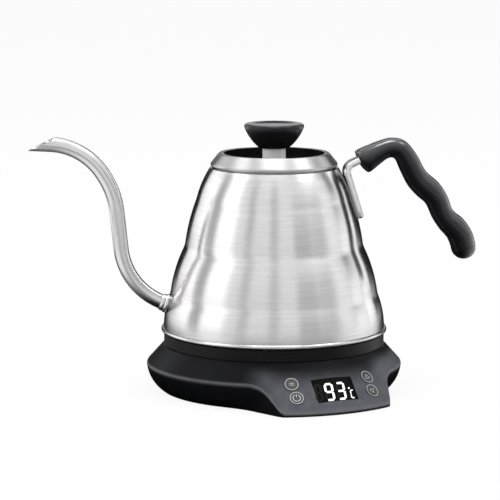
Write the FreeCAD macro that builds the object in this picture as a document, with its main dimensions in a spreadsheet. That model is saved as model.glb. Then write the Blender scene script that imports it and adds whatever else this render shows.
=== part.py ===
import FreeCAD, Part
import math
import os
import re
import Sketcher

# Gooseneck kettle on its power base. Millimetres, +Z up, origin on the table under the
# kettle's axis. The spout points along -X and the handle along +X. The base is modelled with
# its control panel towards -Y and then turned about the axis by base_turn.

SIZES = {
    # Power base, round part
    "base_turn": 20.0,
    "foot_height": 1.5,
    "foot_radius": 6.0,
    "foot_inset": 18.5,
    "shell_wall": 2.2,
    "bottom_inset": 8.0,
    "side_curve": 21.0,
    "rim_reach": 10.5,
    "rim_round": 2.5,
    "cone_slope": 48.0,
    "seat_rim": 3.0,
    "seat_depth": 4.6,
    "deck_plate": 2.2,
    "cover_thickness": 1.6,
    "cover_gap": 0.3,
    "cover_wing_gap": 2.2,
    "screw_inset": 10.5,
    "screw_radius": 1.4,
    "screw_head_radius": 2.8,
    "screw_head_height": 1.0,
    "screw_head_sink": 0.4,
    "screw_length": 12.0,
    "screw_post_radius": 3.4,
    "screw_post_sink": 0.2,
    # Control panel wing of the base
    "wing_reach": 13.0,
    "panel_lip": 1.06,
    "wing_half_width": 36.5,
    "wing_taper": 18.7,
    "wing_corner": 2.0,
    "wing_back": 40.0,
    "wing_hollow_back": 31.2,
    "panel_cut": 6.6,
    # Display and buttons on the panel, measured down the slope from the deck's edge
    "display_width": 26.8,
    "display_length": 16.0,
    "display_slant": 20.0,
    "window_thickness": 2.0,
    "window_gap": 0.15,
    "module_width": 24.0,
    "module_length": 13.5,
    "control_board_width": 29.0,
    "control_board_length": 15.0,
    "control_board_depth": 6.2,
    "board_thickness": 1.2,
    "button_radius": 4.2,
    "button_gap": 0.25,
    "button_proud": 0.4,
    "button_flange_radius": 4.6,
    "button_flange": 0.8,
    "button_flange_drop": 0.45,
    "button_travel": 0.5,
    "button_across": 25.2,
    "upper_button_slant": 15.1,
    "lower_button_slant": 24.6,
    "button_board_depth": 5.6,
    "button_board_width": 12.0,
    "button_board_length": 16.0,
    "switch_width": 4.5,
    "switch_play": 0.2,
    # Cordless connector, base half and kettle half
    "boss_radius": 18.0,
    "boss_height": 8.2,
    "boss_flange_radius": 23.0,
    "boss_flange": 2.8,
    "ring_radius": 10.4,
    "ring_slot": 2.4,
    "ring_blade": 1.0,
    "blade_length": 6.2,
    "pin_radius": 2.4,
    "pin_length": 7.0,
    "pin_gap": 0.6,
    "contact_height": 1.6,
    "connector_gap": 1.0,
    "connector_plate": 2.0,
    "connector_flange": 1.8,
    "fit_gap": 0.3,
    # Electrics on the power board
    "power_board_width": 68.0,
    "board_post_edge": 2.7,
    "power_board_gap": 3.0,
    "board_headroom": 1.66,
    "board_post_radius": 2.5,
    "board_post_inset": 4.0,
    "relay_width": 19.0,
    "relay_length": 15.0,
    "relay_height": 12.0,
    "transformer_width": 20.0,
    "transformer_length": 18.0,
    "transformer_height": 11.5,
    "capacitor_radius": 5.0,
    "capacitor_height": 12.0,
    "terminal_width": 18.0,
    "terminal_length": 9.0,
    "terminal_height": 9.0,
    "gland_radius": 4.5,
    "gland_bore": 3.2,
    "gland_gap": 0.1,
    "gland_flange_radius": 5.5,
    "gland_flange": 2.0,
    "gland_inset": 1.5,
    "gland_length": 10.5,
    "gland_height": 10.0,
    # Bottom housing and heater of the kettle
    "housing_inset": 0.2,
    "housing_wall": 2.2,
    "skirt_gap": 0.5,
    "band_gap": 0.3,
    "band_height": 6.64,
    "housing_drop": 0.4,
    "recess_gap": 3.5,
    "plate_rise": 1.0,
    "plate_thickness": 1.0,
    "plate_gap": 0.1,
    "spreader_inset": 13.0,
    "spreader_gap": 3.3,
    "spreader_thickness": 2.2,
    "element_inset": 11.0,
    "element_radius": 3.2,
    "element_sweep": 320.0,
    "terminal_pin_radius": 1.5,
    "terminal_pin_length": 4.5,
    "cutout_radius": 6.5,
    "cutout_height": 6.0,
    "cutout_gap": 2.0,
    "probe_radius": 2.5,
    "probe_gap": 2.0,
    "probe_length": 15.0,
    "probe_rise": 9.0,
    "gasket_width": 3.6,
    "housing_screw_gap": 1.5,
    # Steel vessel: four swelling tiers with a crease between each two
    "vessel_wall": 0.8,
    "vessel_radius": 68.0,
    "foot_band": 3.0,
    "first_tier_height": 20.5,
    "first_tier_step": 4.2,
    "first_tier_curve": 55.0,
    "second_tier_height": 29.5,
    "second_tier_step": 9.0,
    "second_tier_curve": 88.0,
    "third_tier_height": 28.6,
    "third_tier_step": 7.1,
    "third_tier_curve": 120.0,
    "fourth_tier_height": 19.7,
    "fourth_tier_step": 8.4,
    "fourth_tier_curve": 67.0,
    "mouth_lip": 4.7,
    "bead_lift": 0.19,
    "bead_root": 0.475,
    "bead_height": 2.8,
    "bead_curve": 1.5,
    # Spout: straight runs and bends from its root in the vessel's side
    "spout_radius": 4.6,
    "spout_wall": 0.7,
    "collar_radius": 5.4,
    "collar_reach": 6.0,
    "spout_root_rise": 15.8,
    "spout_root_sink": 7.8,
    "spout_root_slope": 18.82,
    "spout_root_run": 6.99,
    "spout_lower_bend": 40.5,
    "spout_lower_turn": 65.14,
    "spout_rising_run": 23.33,
    "spout_middle_bend": 50.0,
    "spout_middle_turn": 26.2,
    "spout_upper_run": 1.73,
    "spout_upper_bend": 40.0,
    "spout_upper_turn": 54.41,
    "spout_tip_run": 13.69,
    "tip_cut_angle": 25.8,
    "tip_cut_block": 36.8,
    "spout_entry": 31.2,
    # Handle: the strip's foot is placed from the third crease, the rest from the neck's edge
    "strip_width": 12.0,
    "strip_thickness": 4.6,
    "strip_edge": 1.6,
    "strip_bend": 5.7,
    "strip_foot_reach": 5.7,
    "strip_foot_drop": 12.3,
    "strip_corner_reach": 4.2,
    "strip_corner_drop": 0.3,
    "strip_end_reach": 25.7,
    "strip_end_rise": 9.7,
    "grip_width": 18.0,
    "grip_screw_inset": 4.97,
    "grip_screw_radius": 1.6,
    "grip_screw_head_radius": 3.0,
    "grip_screw_head": 2.0,
    # Lid
    "lid_inset": 0.4,
    "lid_seam": 0.6,
    "lid_seam_depth": 0.9,
    "lid_bevel": 5.2,
    "lid_height": 9.0,
    "lid_wall": 1.2,
    "lid_foot_wall": 1.8,
    "lid_skirt_gap": 0.4,
    "lid_skirt_wall": 1.0,
    "lid_skirt_depth": 8.3,
    "lid_flange": 1.3,
    "dish_floor": 2.4,
    "dish_wall": 1.4,
    "dish_gap": 0.2,
    "dish_lip": 0.7,
    "vent_width": 1.6,
    "vent_length": 6.0,
    "vent_inset": 4.9,
    "knob_screw_radius": 2.0,
    "knob_screw_head_radius": 4.0,
    "knob_screw_head": 1.6,
    "post_radius": 7.1,
    "post_height": 8.4,
    "knob_foot_radius": 9.8,
    "knob_radius": 18.3,
    "knob_height": 14.8,
    "knob_side_curve": 30.0,
    "knob_rim_curve": 1.6,
    "knob_rim_drop": 2.4,
    "knob_rim_width": 3.2,
    "knob_dish_inset": 4.8,
    "knob_dish_depth": 1.0,
}

# Sizes that follow from the driving ones
DERIVED = {
    "deck_radius": "vessel_radius",
    "rim_radius": "deck_radius + rim_reach",
    "bottom_radius": "rim_radius - bottom_inset",
    "rim_height": "foot_height + panel_lip + wing_reach * tan(cone_slope)",
    "wing_front_radius": "rim_radius + wing_reach",
    "seat_radius": "deck_radius - seat_rim",
    "screw_circle": "bottom_radius - screw_inset",
    "foot_circle": "bottom_radius - foot_inset",
    "gland_start": "bottom_radius - gland_inset",
    "rim_trim": "rim_round * tan((90 - cone_slope) / 2)",
    "cone_top": "rim_height + (rim_radius - deck_radius) * tan(cone_slope)",
    "seat_floor": "cone_top - seat_depth",
    "ceiling": "seat_floor - deck_plate",
    "cone_drop": "shell_wall / cos(cone_slope)",
    "hollow_rim": "rim_radius - shell_wall",
    "hollow_shoulder": "rim_height + shell_wall * tan(cone_slope) - cone_drop",
    "ceiling_radius": "rim_radius - (ceiling - rim_height + cone_drop) / tan(cone_slope)",
    "cover_top": "foot_height + cover_thickness",
    "cover_wing_inset": "shell_wall + cover_wing_gap",
    "cover_radius": "bottom_radius - shell_wall - cover_gap",
    "boss_top": "seat_floor + boss_height",
    "connector_base": "boss_top + connector_gap",
    "slot_floor": "connector_base - blade_length - contact_height - fit_gap",
    "ring_inner": "ring_radius - ring_slot / 2",
    "ring_outer": "ring_radius + ring_slot / 2",
    "pin_hole": "pin_radius + pin_gap",
    "boss_foot": "ceiling - boss_flange",
    "connector_bore": "boss_radius + recess_gap",
    "power_board_back": "boss_flange_radius + power_board_gap",
    "board_post_across": "power_board_width / 2 - board_post_inset",
    "board_post_reach": "sqrt((cover_radius - board_post_edge) ^ 2 - board_post_across ^ 2)",
    "power_board_length": "board_post_reach + board_post_inset - power_board_back",
    "power_board_height": "ceiling - board_headroom - relay_height - board_thickness",
    "power_board_top": "power_board_height + board_thickness",
    "skirt_radius": "seat_radius - skirt_gap",
    "band_foot": "cone_top + band_gap",
    "housing_radius": "vessel_radius - housing_inset",
    "housing_top": "band_foot + band_height",
    "vessel_foot": "housing_top + housing_drop",
    "plate_height": "vessel_foot + plate_rise",
    "plate_radius": "vessel_radius - vessel_wall - plate_gap",
    "spreader_foot": "plate_height - spreader_thickness",
    "spreader_radius": "vessel_radius - spreader_inset",
    "spreader_bore": "connector_bore + housing_wall + spreader_gap",
    "element_circle": "spreader_radius - element_inset",
    "cutout_circle": "connector_bore + housing_wall + cutout_gap + cutout_radius",
    "probe_circle": "spreader_radius + probe_gap + probe_radius",
    "housing_screw_circle": "element_circle + element_radius + screw_head_radius + housing_screw_gap",
    "first_tier_bottom": "vessel_foot + foot_band",
    "first_crease_radius": "vessel_radius - first_tier_step",
    "first_crease_height": "first_tier_bottom + first_tier_height",
    "second_crease_radius": "first_crease_radius - second_tier_step",
    "second_crease_height": "first_crease_height + second_tier_height",
    "third_crease_radius": "second_crease_radius - third_tier_step",
    "third_crease_height": "second_crease_height + third_tier_height",
    "neck_radius": "third_crease_radius - fourth_tier_step",
    "neck_height": "third_crease_height + fourth_tier_height",
    "mouth_radius": "neck_radius - mouth_lip",
    "lid_rim_radius": "neck_radius - lid_inset",
    "lid_top_radius": "lid_rim_radius - lid_bevel",
    "lid_seat": "neck_height",
    "lid_top": "neck_height + lid_height",
    "lid_skirt_radius": "mouth_radius - lid_skirt_gap",
    "lid_flange_top": "lid_seat + lid_flange",
    "dish_radius": "lid_top_radius - lid_wall - dish_gap",
    "dish_top": "lid_flange_top + dish_floor",
    "vent_circle": "dish_radius - dish_wall - vent_inset",
    "post_top": "dish_top + post_height",
    "knob_top": "post_top + knob_height",
}

WORD = re.compile(r"[a-z][a-z_]*")
X_AXIS = FreeCAD.Vector(1, 0, 0)
Y_AXIS = FreeCAD.Vector(0, 1, 0)
Z_AXIS = FreeCAD.Vector(0, 0, 1)
SAME_PLACE = 0.01

doc = FreeCAD.newDocument("gooseneck_kettle")
sheet = doc.addObject("Spreadsheet::Sheet", "Sizes")
for row, (alias, number) in enumerate(SIZES.items(), start=1):
    sheet.set(f"A{row}", alias)
    sheet.set(f"B{row}", str(number))
    sheet.setAlias(f"B{row}", alias)
doc.recompute()


def bound(text):
    """Spell out an expression so that every size in it is read from the sheet."""

    def spell(match):
        word = match.group(0)
        if word in SIZES:
            return "Sizes." + word
        if word in DERIVED:
            return "(" + bound(DERIVED[word]) + ")"
        return word

    return WORD.sub(spell, text)


def size(text):
    """The number that an expression gives now."""
    return float(sheet.evalExpression(bound(text)))


def spot(x="0", y="0", z="0"):
    """A placement that only moves."""
    return FreeCAD.Placement(FreeCAD.Vector(size(x), size(y), size(z)), FreeCAD.Rotation())


def around(radius, degrees, z="0"):
    """A placement at a radius and bearing about the axis, turned with that bearing."""
    turn = FreeCAD.Rotation(Z_AXIS, degrees)
    return FreeCAD.Placement(turn.multVec(FreeCAD.Vector(size(radius), 0, size(z))), turn)


def arc_between(start, end, radius, bulge):
    """An arc that bulges to the left or right of the way from start to end, and where it starts."""
    chord = end - start
    reach = math.sqrt(radius**2 - (chord.Length / 2) ** 2)
    left = FreeCAD.Vector(-chord.y, chord.x, 0).normalize()
    side = 1 if bulge == "right" else -1
    centre = start + chord / 2 + left * (side * reach)
    first, last = (start, end) if bulge == "right" else (end, start)
    angles = [math.atan2(point.y - centre.y, point.x - centre.x) for point in (first, last)]
    circle = Part.Circle(centre, Z_AXIS, radius)
    return Part.ArcOfCircle(circle, angles[0], angles[1])


def outline(body, role, corners, lift="0"):
    """A closed sketch through corners; a corner with a radius and a side starts an arc."""
    plane = next(feature for feature in body.Origin.OriginFeatures if feature.Role == role)
    sketch = body.newObject("Sketcher::SketchObject", "outline")
    sketch.AttachmentSupport = [(plane, "")]
    sketch.MapMode = "FlatFace"
    sketch.setExpression("AttachmentOffset.Base.z", bound(lift))
    points = [FreeCAD.Vector(size(corner[0]), size(corner[1]), 0) for corner in corners]
    ends = []
    for number, corner in enumerate(corners):
        start = points[number]
        end = points[(number + 1) % len(points)]
        if len(corner) == 2:
            sketch.addGeometry(Part.LineSegment(start, end))
            ends.append((1, 2))
            continue
        sketch.addGeometry(arc_between(start, end, size(corner[2]), corner[3]))
        ends.append((1, 2) if corner[3] == "right" else (2, 1))
        curve = sketch.addConstraint(Sketcher.Constraint("Radius", number, size(corner[2])))
        sketch.setExpression(f"Constraints[{curve}]", bound(corner[2]))
    for number, corner in enumerate(corners):
        before = number - 1 if number else len(corners) - 1
        sketch.addConstraint(
            Sketcher.Constraint("Coincident", before, ends[before][1], number, ends[number][0])
        )
        for kind, axis, text in (("DistanceX", -2, corner[0]), ("DistanceY", -1, corner[1])):
            if text == "0":
                sketch.addConstraint(
                    Sketcher.Constraint("PointOnObject", number, ends[number][0], axis)
                )
                continue
            place = Sketcher.Constraint(kind, -1, 1, number, ends[number][0], size(text))
            index = sketch.addConstraint(place)
            sketch.setExpression(f"Constraints[{index}]", bound(text))
    return sketch


def turned(name, corners):
    """A body turned about the axis from an outline of radii and heights."""
    body = doc.addObject("PartDesign::Body", name)
    sketch = outline(body, "XZ_Plane", corners)
    turning = body.newObject("PartDesign::Revolution", "turning")
    turning.Profile = sketch
    turning.ReferenceAxis = (sketch, ["V_Axis"])
    turning.Angle = 360
    return body


def padded(name, corners, lift, height):
    """A body raised from a plan outline."""
    body = doc.addObject("PartDesign::Body", name)
    sketch = outline(body, "XY_Plane", corners, lift)
    pad = body.newObject("PartDesign::Pad", "raised")
    pad.Profile = sketch
    pad.setExpression("Length", bound(height))
    return body


def cylinder(name, radius, height, place):
    """A round bar that stands on its placement."""
    solid = doc.addObject("Part::Cylinder", name)
    solid.setExpression("Radius", bound(radius))
    solid.setExpression("Height", bound(height))
    solid.Placement = place
    return solid


def block(name, width, length, height, place):
    """A box whose foot is centred on its placement."""
    solid = doc.addObject("Part::Box", name)
    solid.setExpression("Length", bound(width))
    solid.setExpression("Width", bound(length))
    solid.setExpression("Height", bound(height))
    corner = FreeCAD.Vector(-size(width) / 2, -size(length) / 2, 0)
    solid.Placement = place.multiply(FreeCAD.Placement(corner, FreeCAD.Rotation()))
    return solid


def fused(name, solids):
    """Several solids joined into one."""
    joined = doc.addObject("Part::MultiFuse", name)
    joined.Shapes = solids
    joined.Refine = True
    return joined


def carved(name, base, tool):
    """A solid with another cut away."""
    result = doc.addObject("Part::Cut", name)
    result.Base = base
    result.Tool = tool
    return result


def shared(name, first, second):
    """What two solids have in common."""
    result = doc.addObject("Part::Common", name)
    result.Base = first
    result.Tool = second
    return result


def grouped(name, solids):
    """Like pieces kept as separate solids in one node."""
    group = doc.addObject("Part::Compound", name)
    group.Links = solids
    return group


def formed(name, shape):
    """A piece whose shape is worked out here, such as a bent tube."""
    feature = doc.addObject("Part::Feature", name)
    feature.Shape = shape
    feature.Placement = FreeCAD.Placement()
    return feature


nodes = []
base_place = FreeCAD.Placement(FreeCAD.Vector(), FreeCAD.Rotation(Z_AXIS, size("base_turn")))


def keep(piece, label):
    """Name a finished piece and hand it in as a node."""
    piece.Label = label
    nodes.append(piece)
    return piece


def keep_on_base(piece, label):
    """As keep, with the piece turned to where the base stands."""
    piece.Placement = base_place.multiply(piece.Placement)
    return keep(piece, label)


def panel_place(across, slant, depth="0"):
    """A placement on the panel's cone, its z axis square to the surface, sunk by depth."""
    slope = math.radians(size("cone_slope"))
    radius = size("deck_radius") + size(slant) * math.cos(slope)
    bearing = math.degrees(math.asin(size(across) / radius))
    turn = FreeCAD.Rotation(Z_AXIS, bearing).multiply(FreeCAD.Rotation(X_AXIS, size("cone_slope")))
    height = size("cone_top") - size(slant) * math.sin(slope)
    point = FreeCAD.Rotation(Z_AXIS, bearing).multVec(FreeCAD.Vector(0, -radius, height))
    return FreeCAD.Placement(point - turn.multVec(Z_AXIS) * size(depth), turn)


# Base upper shell: a round moulding with a seat for the kettle and a wing for the panel


def wing(name, inset, drop, back):
    """The wing's block inside an inset outline, topped by the panel's cone lowered by drop."""
    front = f"(wing_front_radius - {inset})"
    half = f"(wing_half_width - {inset} / cos(wing_taper))"
    nose = f"sqrt({front} ^ 2 - {half} ^ 2)"
    root = f"({half} + ({nose} - ({back})) * tan(wing_taper))"
    bearing = f"asin({half} / {front})"
    corner_curve = f"wing_corner / tan((90 deg - wing_taper * 1 deg - {bearing}) / 2)"
    side_across = f"({half} + wing_corner * sin(wing_taper))"
    side_along = f"({nose} - wing_corner * cos(wing_taper))"
    front_bearing = f"({bearing} - wing_corner / {front} * 180 deg / pi)"
    front_across = f"{front} * sin({front_bearing})"
    front_along = f"-{front} * cos({front_bearing})"
    plan = [
        (f"-{root}", f"-({back})"),
        (f"-{side_across}", f"-{side_along}", corner_curve, "right"),
        (f"-{front_across}", front_along, front, "right"),
        (front_across, front_along, corner_curve, "right"),
        (side_across, f"-{side_along}"),
        (root, f"-({back})"),
    ]
    body = padded(name, plan, "foot_height", "rim_height + rim_round - foot_height")
    beyond = "(wing_front_radius + shell_wall)"
    beyond_height = f"rim_height - ({beyond} - rim_radius) * tan(cone_slope) - {drop}"
    waste = [
        ("deck_radius", f"cone_top - {drop}"),
        (beyond, beyond_height),
        (beyond, "cone_top + shell_wall"),
        ("deck_radius", "cone_top + shell_wall"),
    ]
    sketch = outline(body, "XZ_Plane", waste)
    slope = body.newObject("PartDesign::Groove", "slope")
    slope.Profile = sketch
    slope.ReferenceAxis = (sketch, ["V_Axis"])
    slope.Angle = 360
    return body


shell_round = turned(
    "shell_round",
    [
        ("0", "foot_height"),
        ("bottom_radius", "foot_height", "side_curve", "right"),
        ("rim_radius", "rim_height - rim_trim", "rim_round", "right"),
        ("rim_radius - rim_trim * cos(cone_slope)", "rim_height + rim_trim * sin(cone_slope)"),
        ("deck_radius", "cone_top"),
        ("seat_radius", "cone_top"),
        ("seat_radius", "seat_floor"),
        ("0", "seat_floor"),
    ],
)
shell_hollow = turned(
    "shell_hollow",
    [
        ("0", "foot_height - shell_wall"),
        ("bottom_radius - shell_wall", "foot_height - shell_wall"),
        ("bottom_radius - shell_wall", "foot_height", "side_curve", "right"),
        ("hollow_rim", "rim_height - rim_trim"),
        ("hollow_rim", "hollow_shoulder"),
        ("ceiling_radius", "ceiling"),
        ("0", "ceiling"),
    ],
)
wing_block = wing("wing_block", "0", "0", "wing_back")
wing_hollow = wing("wing_hollow", "shell_wall", "cone_drop", "wing_hollow_back")
shell_outer = fused("shell_outer", [shell_round, wing_block])
shell_inner = fused("shell_inner", [shell_hollow, wing_hollow])
shell_walls = carved("shell_walls", shell_outer, shell_inner)

SCREW_BEARINGS = (45, 135, 225, 315)
screw_post_height = "ceiling - cover_top + screw_post_sink"
screw_posts = []
shell_cuts = []
for bearing in SCREW_BEARINGS:
    place = around("screw_circle", bearing, "cover_top")
    screw_posts.append(cylinder("screw_post", "screw_post_radius", screw_post_height, place))
    shell_cuts.append(cylinder("pilot_hole", "screw_radius", "screw_length", place))
shell_with_posts = fused("shell_with_posts", [shell_walls] + screw_posts)

BUTTONS = {
    "button_hold": ("-button_across", "upper_button_slant"),
    "button_power": ("-button_across", "lower_button_slant"),
    "button_up": ("button_across", "upper_button_slant"),
    "button_down": ("button_across", "lower_button_slant"),
}
for across, slant in BUTTONS.values():
    place = panel_place(across, slant, "panel_cut")
    shell_cuts.append(cylinder("button_hole", "button_radius + button_gap", "panel_cut * 2", place))
display_place = panel_place("0", "display_slant", "panel_cut")
shell_cuts.append(
    block("display_hole", "display_width", "display_length", "panel_cut * 2", display_place)
)
connector_hole = spot("0", "0", "ceiling - shell_wall")
shell_cuts.append(
    cylinder("connector_hole", "boss_radius + fit_gap", "deck_plate + shell_wall * 2", connector_hole)
)
gland_turn = FreeCAD.Rotation(X_AXIS, -90)
gland_place = FreeCAD.Placement(
    FreeCAD.Vector(0, size("gland_start"), size("gland_height")), gland_turn
)
shell_cuts.append(
    cylinder("gland_hole", "gland_radius + gland_gap", "gland_length + shell_wall", gland_place)
)
shell_tools = fused("shell_tools", shell_cuts)
keep_on_base(carved("base_shell", shell_with_posts, shell_tools), "base_upper_shell")

# Lower cover with its screws and rubber feet, and posts for the power board

cover_disc = cylinder("cover_disc", "cover_radius", "cover_thickness", spot("0", "0", "foot_height"))
cover_wing_body = wing("cover_wing", "cover_wing_inset", "cone_drop", "wing_hollow_back")
cover_slab = block(
    "cover_slab",
    "wing_front_radius * 2",
    "wing_front_radius * 2",
    "cover_thickness",
    spot("0", "0", "foot_height"),
)
cover_wing = shared("cover_wing_slab", cover_wing_body, cover_slab)
board_posts = []
for side in ("-1", "1"):
    for along in ("board_post_inset", "power_board_length - board_post_inset"):
        place = spot(f"{side} * board_post_across", f"power_board_back + {along}", "cover_top")
        post_height = "power_board_height - cover_top"
        board_posts.append(cylinder("board_post", "board_post_radius", post_height, place))
cover_solid = fused("cover_solid", [cover_disc, cover_wing] + board_posts)
FOOT_BEARINGS = (0, 90, 180, 270)
cover_cuts = []
cover_screws = []
feet = []
for bearing in FOOT_BEARINGS:
    feet.append(cylinder("foot", "foot_radius", "foot_height", around("foot_circle", bearing)))
for bearing in SCREW_BEARINGS:
    foot = around("screw_circle", bearing, "foot_height")
    head_top = around("screw_circle", bearing, "foot_height + screw_head_height")
    bore = "screw_head_radius + fit_gap"
    cover_cuts.append(cylinder("screw_sink", bore, "screw_head_height", foot))
    cover_cuts.append(cylinder("screw_way", "screw_radius + fit_gap", "cover_thickness", foot))
    head = cylinder("screw_head", "screw_head_radius", "screw_head_height", foot)
    shank = cylinder("screw_shank", "screw_radius", "screw_length - screw_head_height", head_top)
    cover_screws.append(fused("cover_screw", [head, shank]))
cover_tools = fused("cover_tools", cover_cuts)
keep_on_base(carved("cover", cover_solid, cover_tools), "base_lower_cover")
keep_on_base(grouped("screws", cover_screws), "cover_screws")
keep_on_base(grouped("feet", feet), "rubber_feet")

# Base half of the round cordless connector, with its ring contact and centre contact

base_connector = turned(
    "connector_boss",
    [
        ("pin_hole", "boss_foot"),
        ("boss_flange_radius", "boss_foot"),
        ("boss_flange_radius", "ceiling"),
        ("boss_radius", "ceiling"),
        ("boss_radius", "boss_top"),
        ("ring_outer", "boss_top"),
        ("ring_outer", "slot_floor"),
        ("ring_inner", "slot_floor"),
        ("ring_inner", "boss_top"),
        ("pin_hole", "boss_top"),
    ],
)
keep_on_base(base_connector, "base_connector")
contact_ring = turned(
    "ring_contact",
    [
        ("ring_inner", "slot_floor"),
        ("ring_outer", "slot_floor"),
        ("ring_outer", "slot_floor + contact_height"),
        ("ring_inner", "slot_floor + contact_height"),
    ],
)
keep_on_base(contact_ring, "contact_ring")
pin_contact_height = "connector_base - pin_length - fit_gap - boss_foot"
contact_pin = cylinder("pin_contact", "pin_hole", pin_contact_height, spot("0", "0", "boss_foot"))
keep_on_base(contact_pin, "contact_pin")

# Display: a dark window flush with the panel, the digit module under it and its board

window_place = panel_place("0", "display_slant", "window_thickness")
window_block = block(
    "window_block",
    "display_width - window_gap * 2",
    "display_length - window_gap * 2",
    "panel_cut",
    window_place,
)
keep_on_base(shared("window", shell_outer, window_block), "display_window")
module_height = "control_board_depth - window_thickness - window_gap"
board_top = panel_place("0", "display_slant", "control_board_depth")
board_foot = panel_place("0", "display_slant", "control_board_depth + board_thickness")
module = block("digits", "module_width", "module_length", module_height, board_top)
keep_on_base(module, "display_module")
board = block(
    "board", "control_board_width", "control_board_length", "board_thickness", board_foot
)
keep_on_base(board, "control_board")

# Four push buttons, the switches under them and a small board for each pair

switches = []
switch_height = (
    "button_board_depth - shell_wall - button_flange_drop - button_flange"
    " - button_travel - switch_play"
)
middle_slant = "(upper_button_slant + lower_button_slant) / 2"
flange_foot = "shell_wall + button_flange_drop + button_flange"
for label, (across, slant) in BUTTONS.items():
    flange_place = panel_place(across, slant, flange_foot)
    flange = cylinder(label + "_flange", "button_flange_radius", "button_flange", flange_place)
    cap = cylinder(label + "_cap", "button_radius", flange_foot + " + button_proud", flange_place)
    keep_on_base(fused(label + "_solid", [flange, cap]), label)
    board_place = panel_place(across, middle_slant, "button_board_depth")
    switch_place = board_place.multiply(spot("0", f"{middle_slant} - {slant}"))
    switches.append(block("switch", "switch_width", "switch_width", switch_height, switch_place))
keep_on_base(grouped("switches", switches), "push_switches")
for side, across in (("left", "-button_across"), ("right", "button_across")):
    place = panel_place(across, middle_slant, "button_board_depth + board_thickness")
    small_board = block(
        side + "_board", "button_board_width", "button_board_length", "board_thickness", place
    )
    keep_on_base(small_board, "button_board_" + side)

# Power board and what stands on it, and the gland for the cord at the back

board_middle = "power_board_back + power_board_length / 2"
power_board = block(
    "mains_board",
    "power_board_width",
    "power_board_length",
    "board_thickness",
    spot("0", board_middle, "power_board_height"),
)
keep_on_base(power_board, "power_board")
relay_place = spot(
    "relay_width / 2 - power_board_width / 2 + board_post_inset",
    "power_board_back + board_post_inset + relay_length / 2",
    "power_board_top",
)
keep_on_base(block("relay_box", "relay_width", "relay_length", "relay_height", relay_place), "relay")
transformer_place = spot(
    "power_board_width / 2 - board_post_inset - transformer_width / 2",
    "power_board_back + board_post_inset + transformer_length / 2",
    "power_board_top",
)
transformer = block(
    "transformer_box", "transformer_width", "transformer_length", "transformer_height", transformer_place
)
keep_on_base(transformer, "transformer")
capacitor_place = spot(
    "0", "power_board_back + board_post_inset + capacitor_radius", "power_board_top"
)
capacitor = cylinder("capacitor_can", "capacitor_radius", "capacitor_height", capacitor_place)
keep_on_base(capacitor, "capacitor")
terminal_place = spot(
    "0", "power_board_back + power_board_length - terminal_length", "power_board_top"
)
terminals = block("terminals", "terminal_width", "terminal_length", "terminal_height", terminal_place)
keep_on_base(terminals, "terminal_block")
gland = turned(
    "gland",
    [
        ("gland_bore", "0"),
        ("gland_flange_radius", "0"),
        ("gland_flange_radius", "gland_flange"),
        ("gland_radius", "gland_flange"),
        ("gland_radius", "gland_length"),
        ("gland_bore", "gland_length"),
    ],
)
gland.Placement = gland_place
keep_on_base(gland, "cord_gland")

# Kettle half of the connector: a round plate with a ring blade and a centre pin

connector_top = "connector_base + connector_plate"
connector_plate = turned(
    "connector_disc",
    [
        ("0", "connector_base"),
        ("connector_bore - fit_gap", "connector_base"),
        ("connector_bore - fit_gap", "connector_base + fit_gap"),
        ("connector_bore + connector_flange", "connector_base + fit_gap"),
        ("connector_bore + connector_flange", connector_top),
        ("0", connector_top),
    ],
)
keep(connector_plate, "kettle_connector")
blade = turned(
    "blade",
    [
        ("ring_radius - ring_blade / 2", "connector_base - blade_length"),
        ("ring_radius + ring_blade / 2", "connector_base - blade_length"),
        ("ring_radius + ring_blade / 2", "connector_base"),
        ("ring_radius - ring_blade / 2", "connector_base"),
    ],
)
keep(blade, "connector_ring_blade")
centre_pin = cylinder(
    "centre_pin", "pin_radius", "pin_length", spot("0", "0", "connector_base - pin_length")
)
keep(centre_pin, "connector_centre_pin")

# Bottom housing of the kettle, black plastic, standing in the base's seat

housing_inner = "housing_radius - housing_wall"
skirt_inner = "skirt_radius - housing_wall"
housing_floor = "seat_floor + housing_wall"
bottom_housing = turned(
    "housing",
    [
        ("connector_bore", "seat_floor"),
        ("skirt_radius", "seat_floor"),
        ("skirt_radius", "band_foot"),
        ("housing_radius", "band_foot"),
        ("housing_radius", "housing_top"),
        (housing_inner, "housing_top"),
        (housing_inner, "band_foot + housing_wall"),
        (skirt_inner, "band_foot + housing_wall"),
        (skirt_inner, housing_floor),
        ("connector_bore + housing_wall", housing_floor),
        ("connector_bore + housing_wall", "connector_base"),
        ("connector_bore", "connector_base"),
    ],
)
HOUSING_SCREW_BEARINGS = (30, 150, 270)
housing_cuts = []
housing_screws = []
for bearing in HOUSING_SCREW_BEARINGS:
    mouth = around("housing_screw_circle", bearing, "seat_floor")
    sink = around("housing_screw_circle", bearing, "seat_floor + screw_head_sink")
    neck_start = "seat_floor + screw_head_sink + screw_head_height"
    neck = around("housing_screw_circle", bearing, neck_start)
    sink_depth = "screw_head_sink + screw_head_height"
    housing_cuts.append(cylinder("housing_sink", "screw_head_radius", sink_depth, mouth))
    housing_cuts.append(cylinder("housing_way", "screw_radius", "housing_wall", mouth))
    head = cylinder("housing_screw_head", "screw_head_radius", "screw_head_height", sink)
    reach = f"spreader_foot - ({neck_start})"
    shank = cylinder("housing_screw_shank", "screw_radius", reach, neck)
    housing_screws.append(fused("housing_screw", [head, shank]))
housing_tools = fused("housing_tools", housing_cuts)
keep(carved("housing_drilled", bottom_housing, housing_tools), "bottom_housing")
keep(grouped("housing_screw_set", housing_screws), "housing_screws")
gasket = turned(
    "gasket",
    [
        (housing_inner + " - gasket_width + fit_gap", "housing_top"),
        (housing_inner + " + fit_gap", "housing_top"),
        (housing_inner + " + fit_gap", "plate_height"),
        (housing_inner + " - gasket_width + fit_gap", "plate_height"),
    ],
)
keep(gasket, "housing_gasket")

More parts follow.
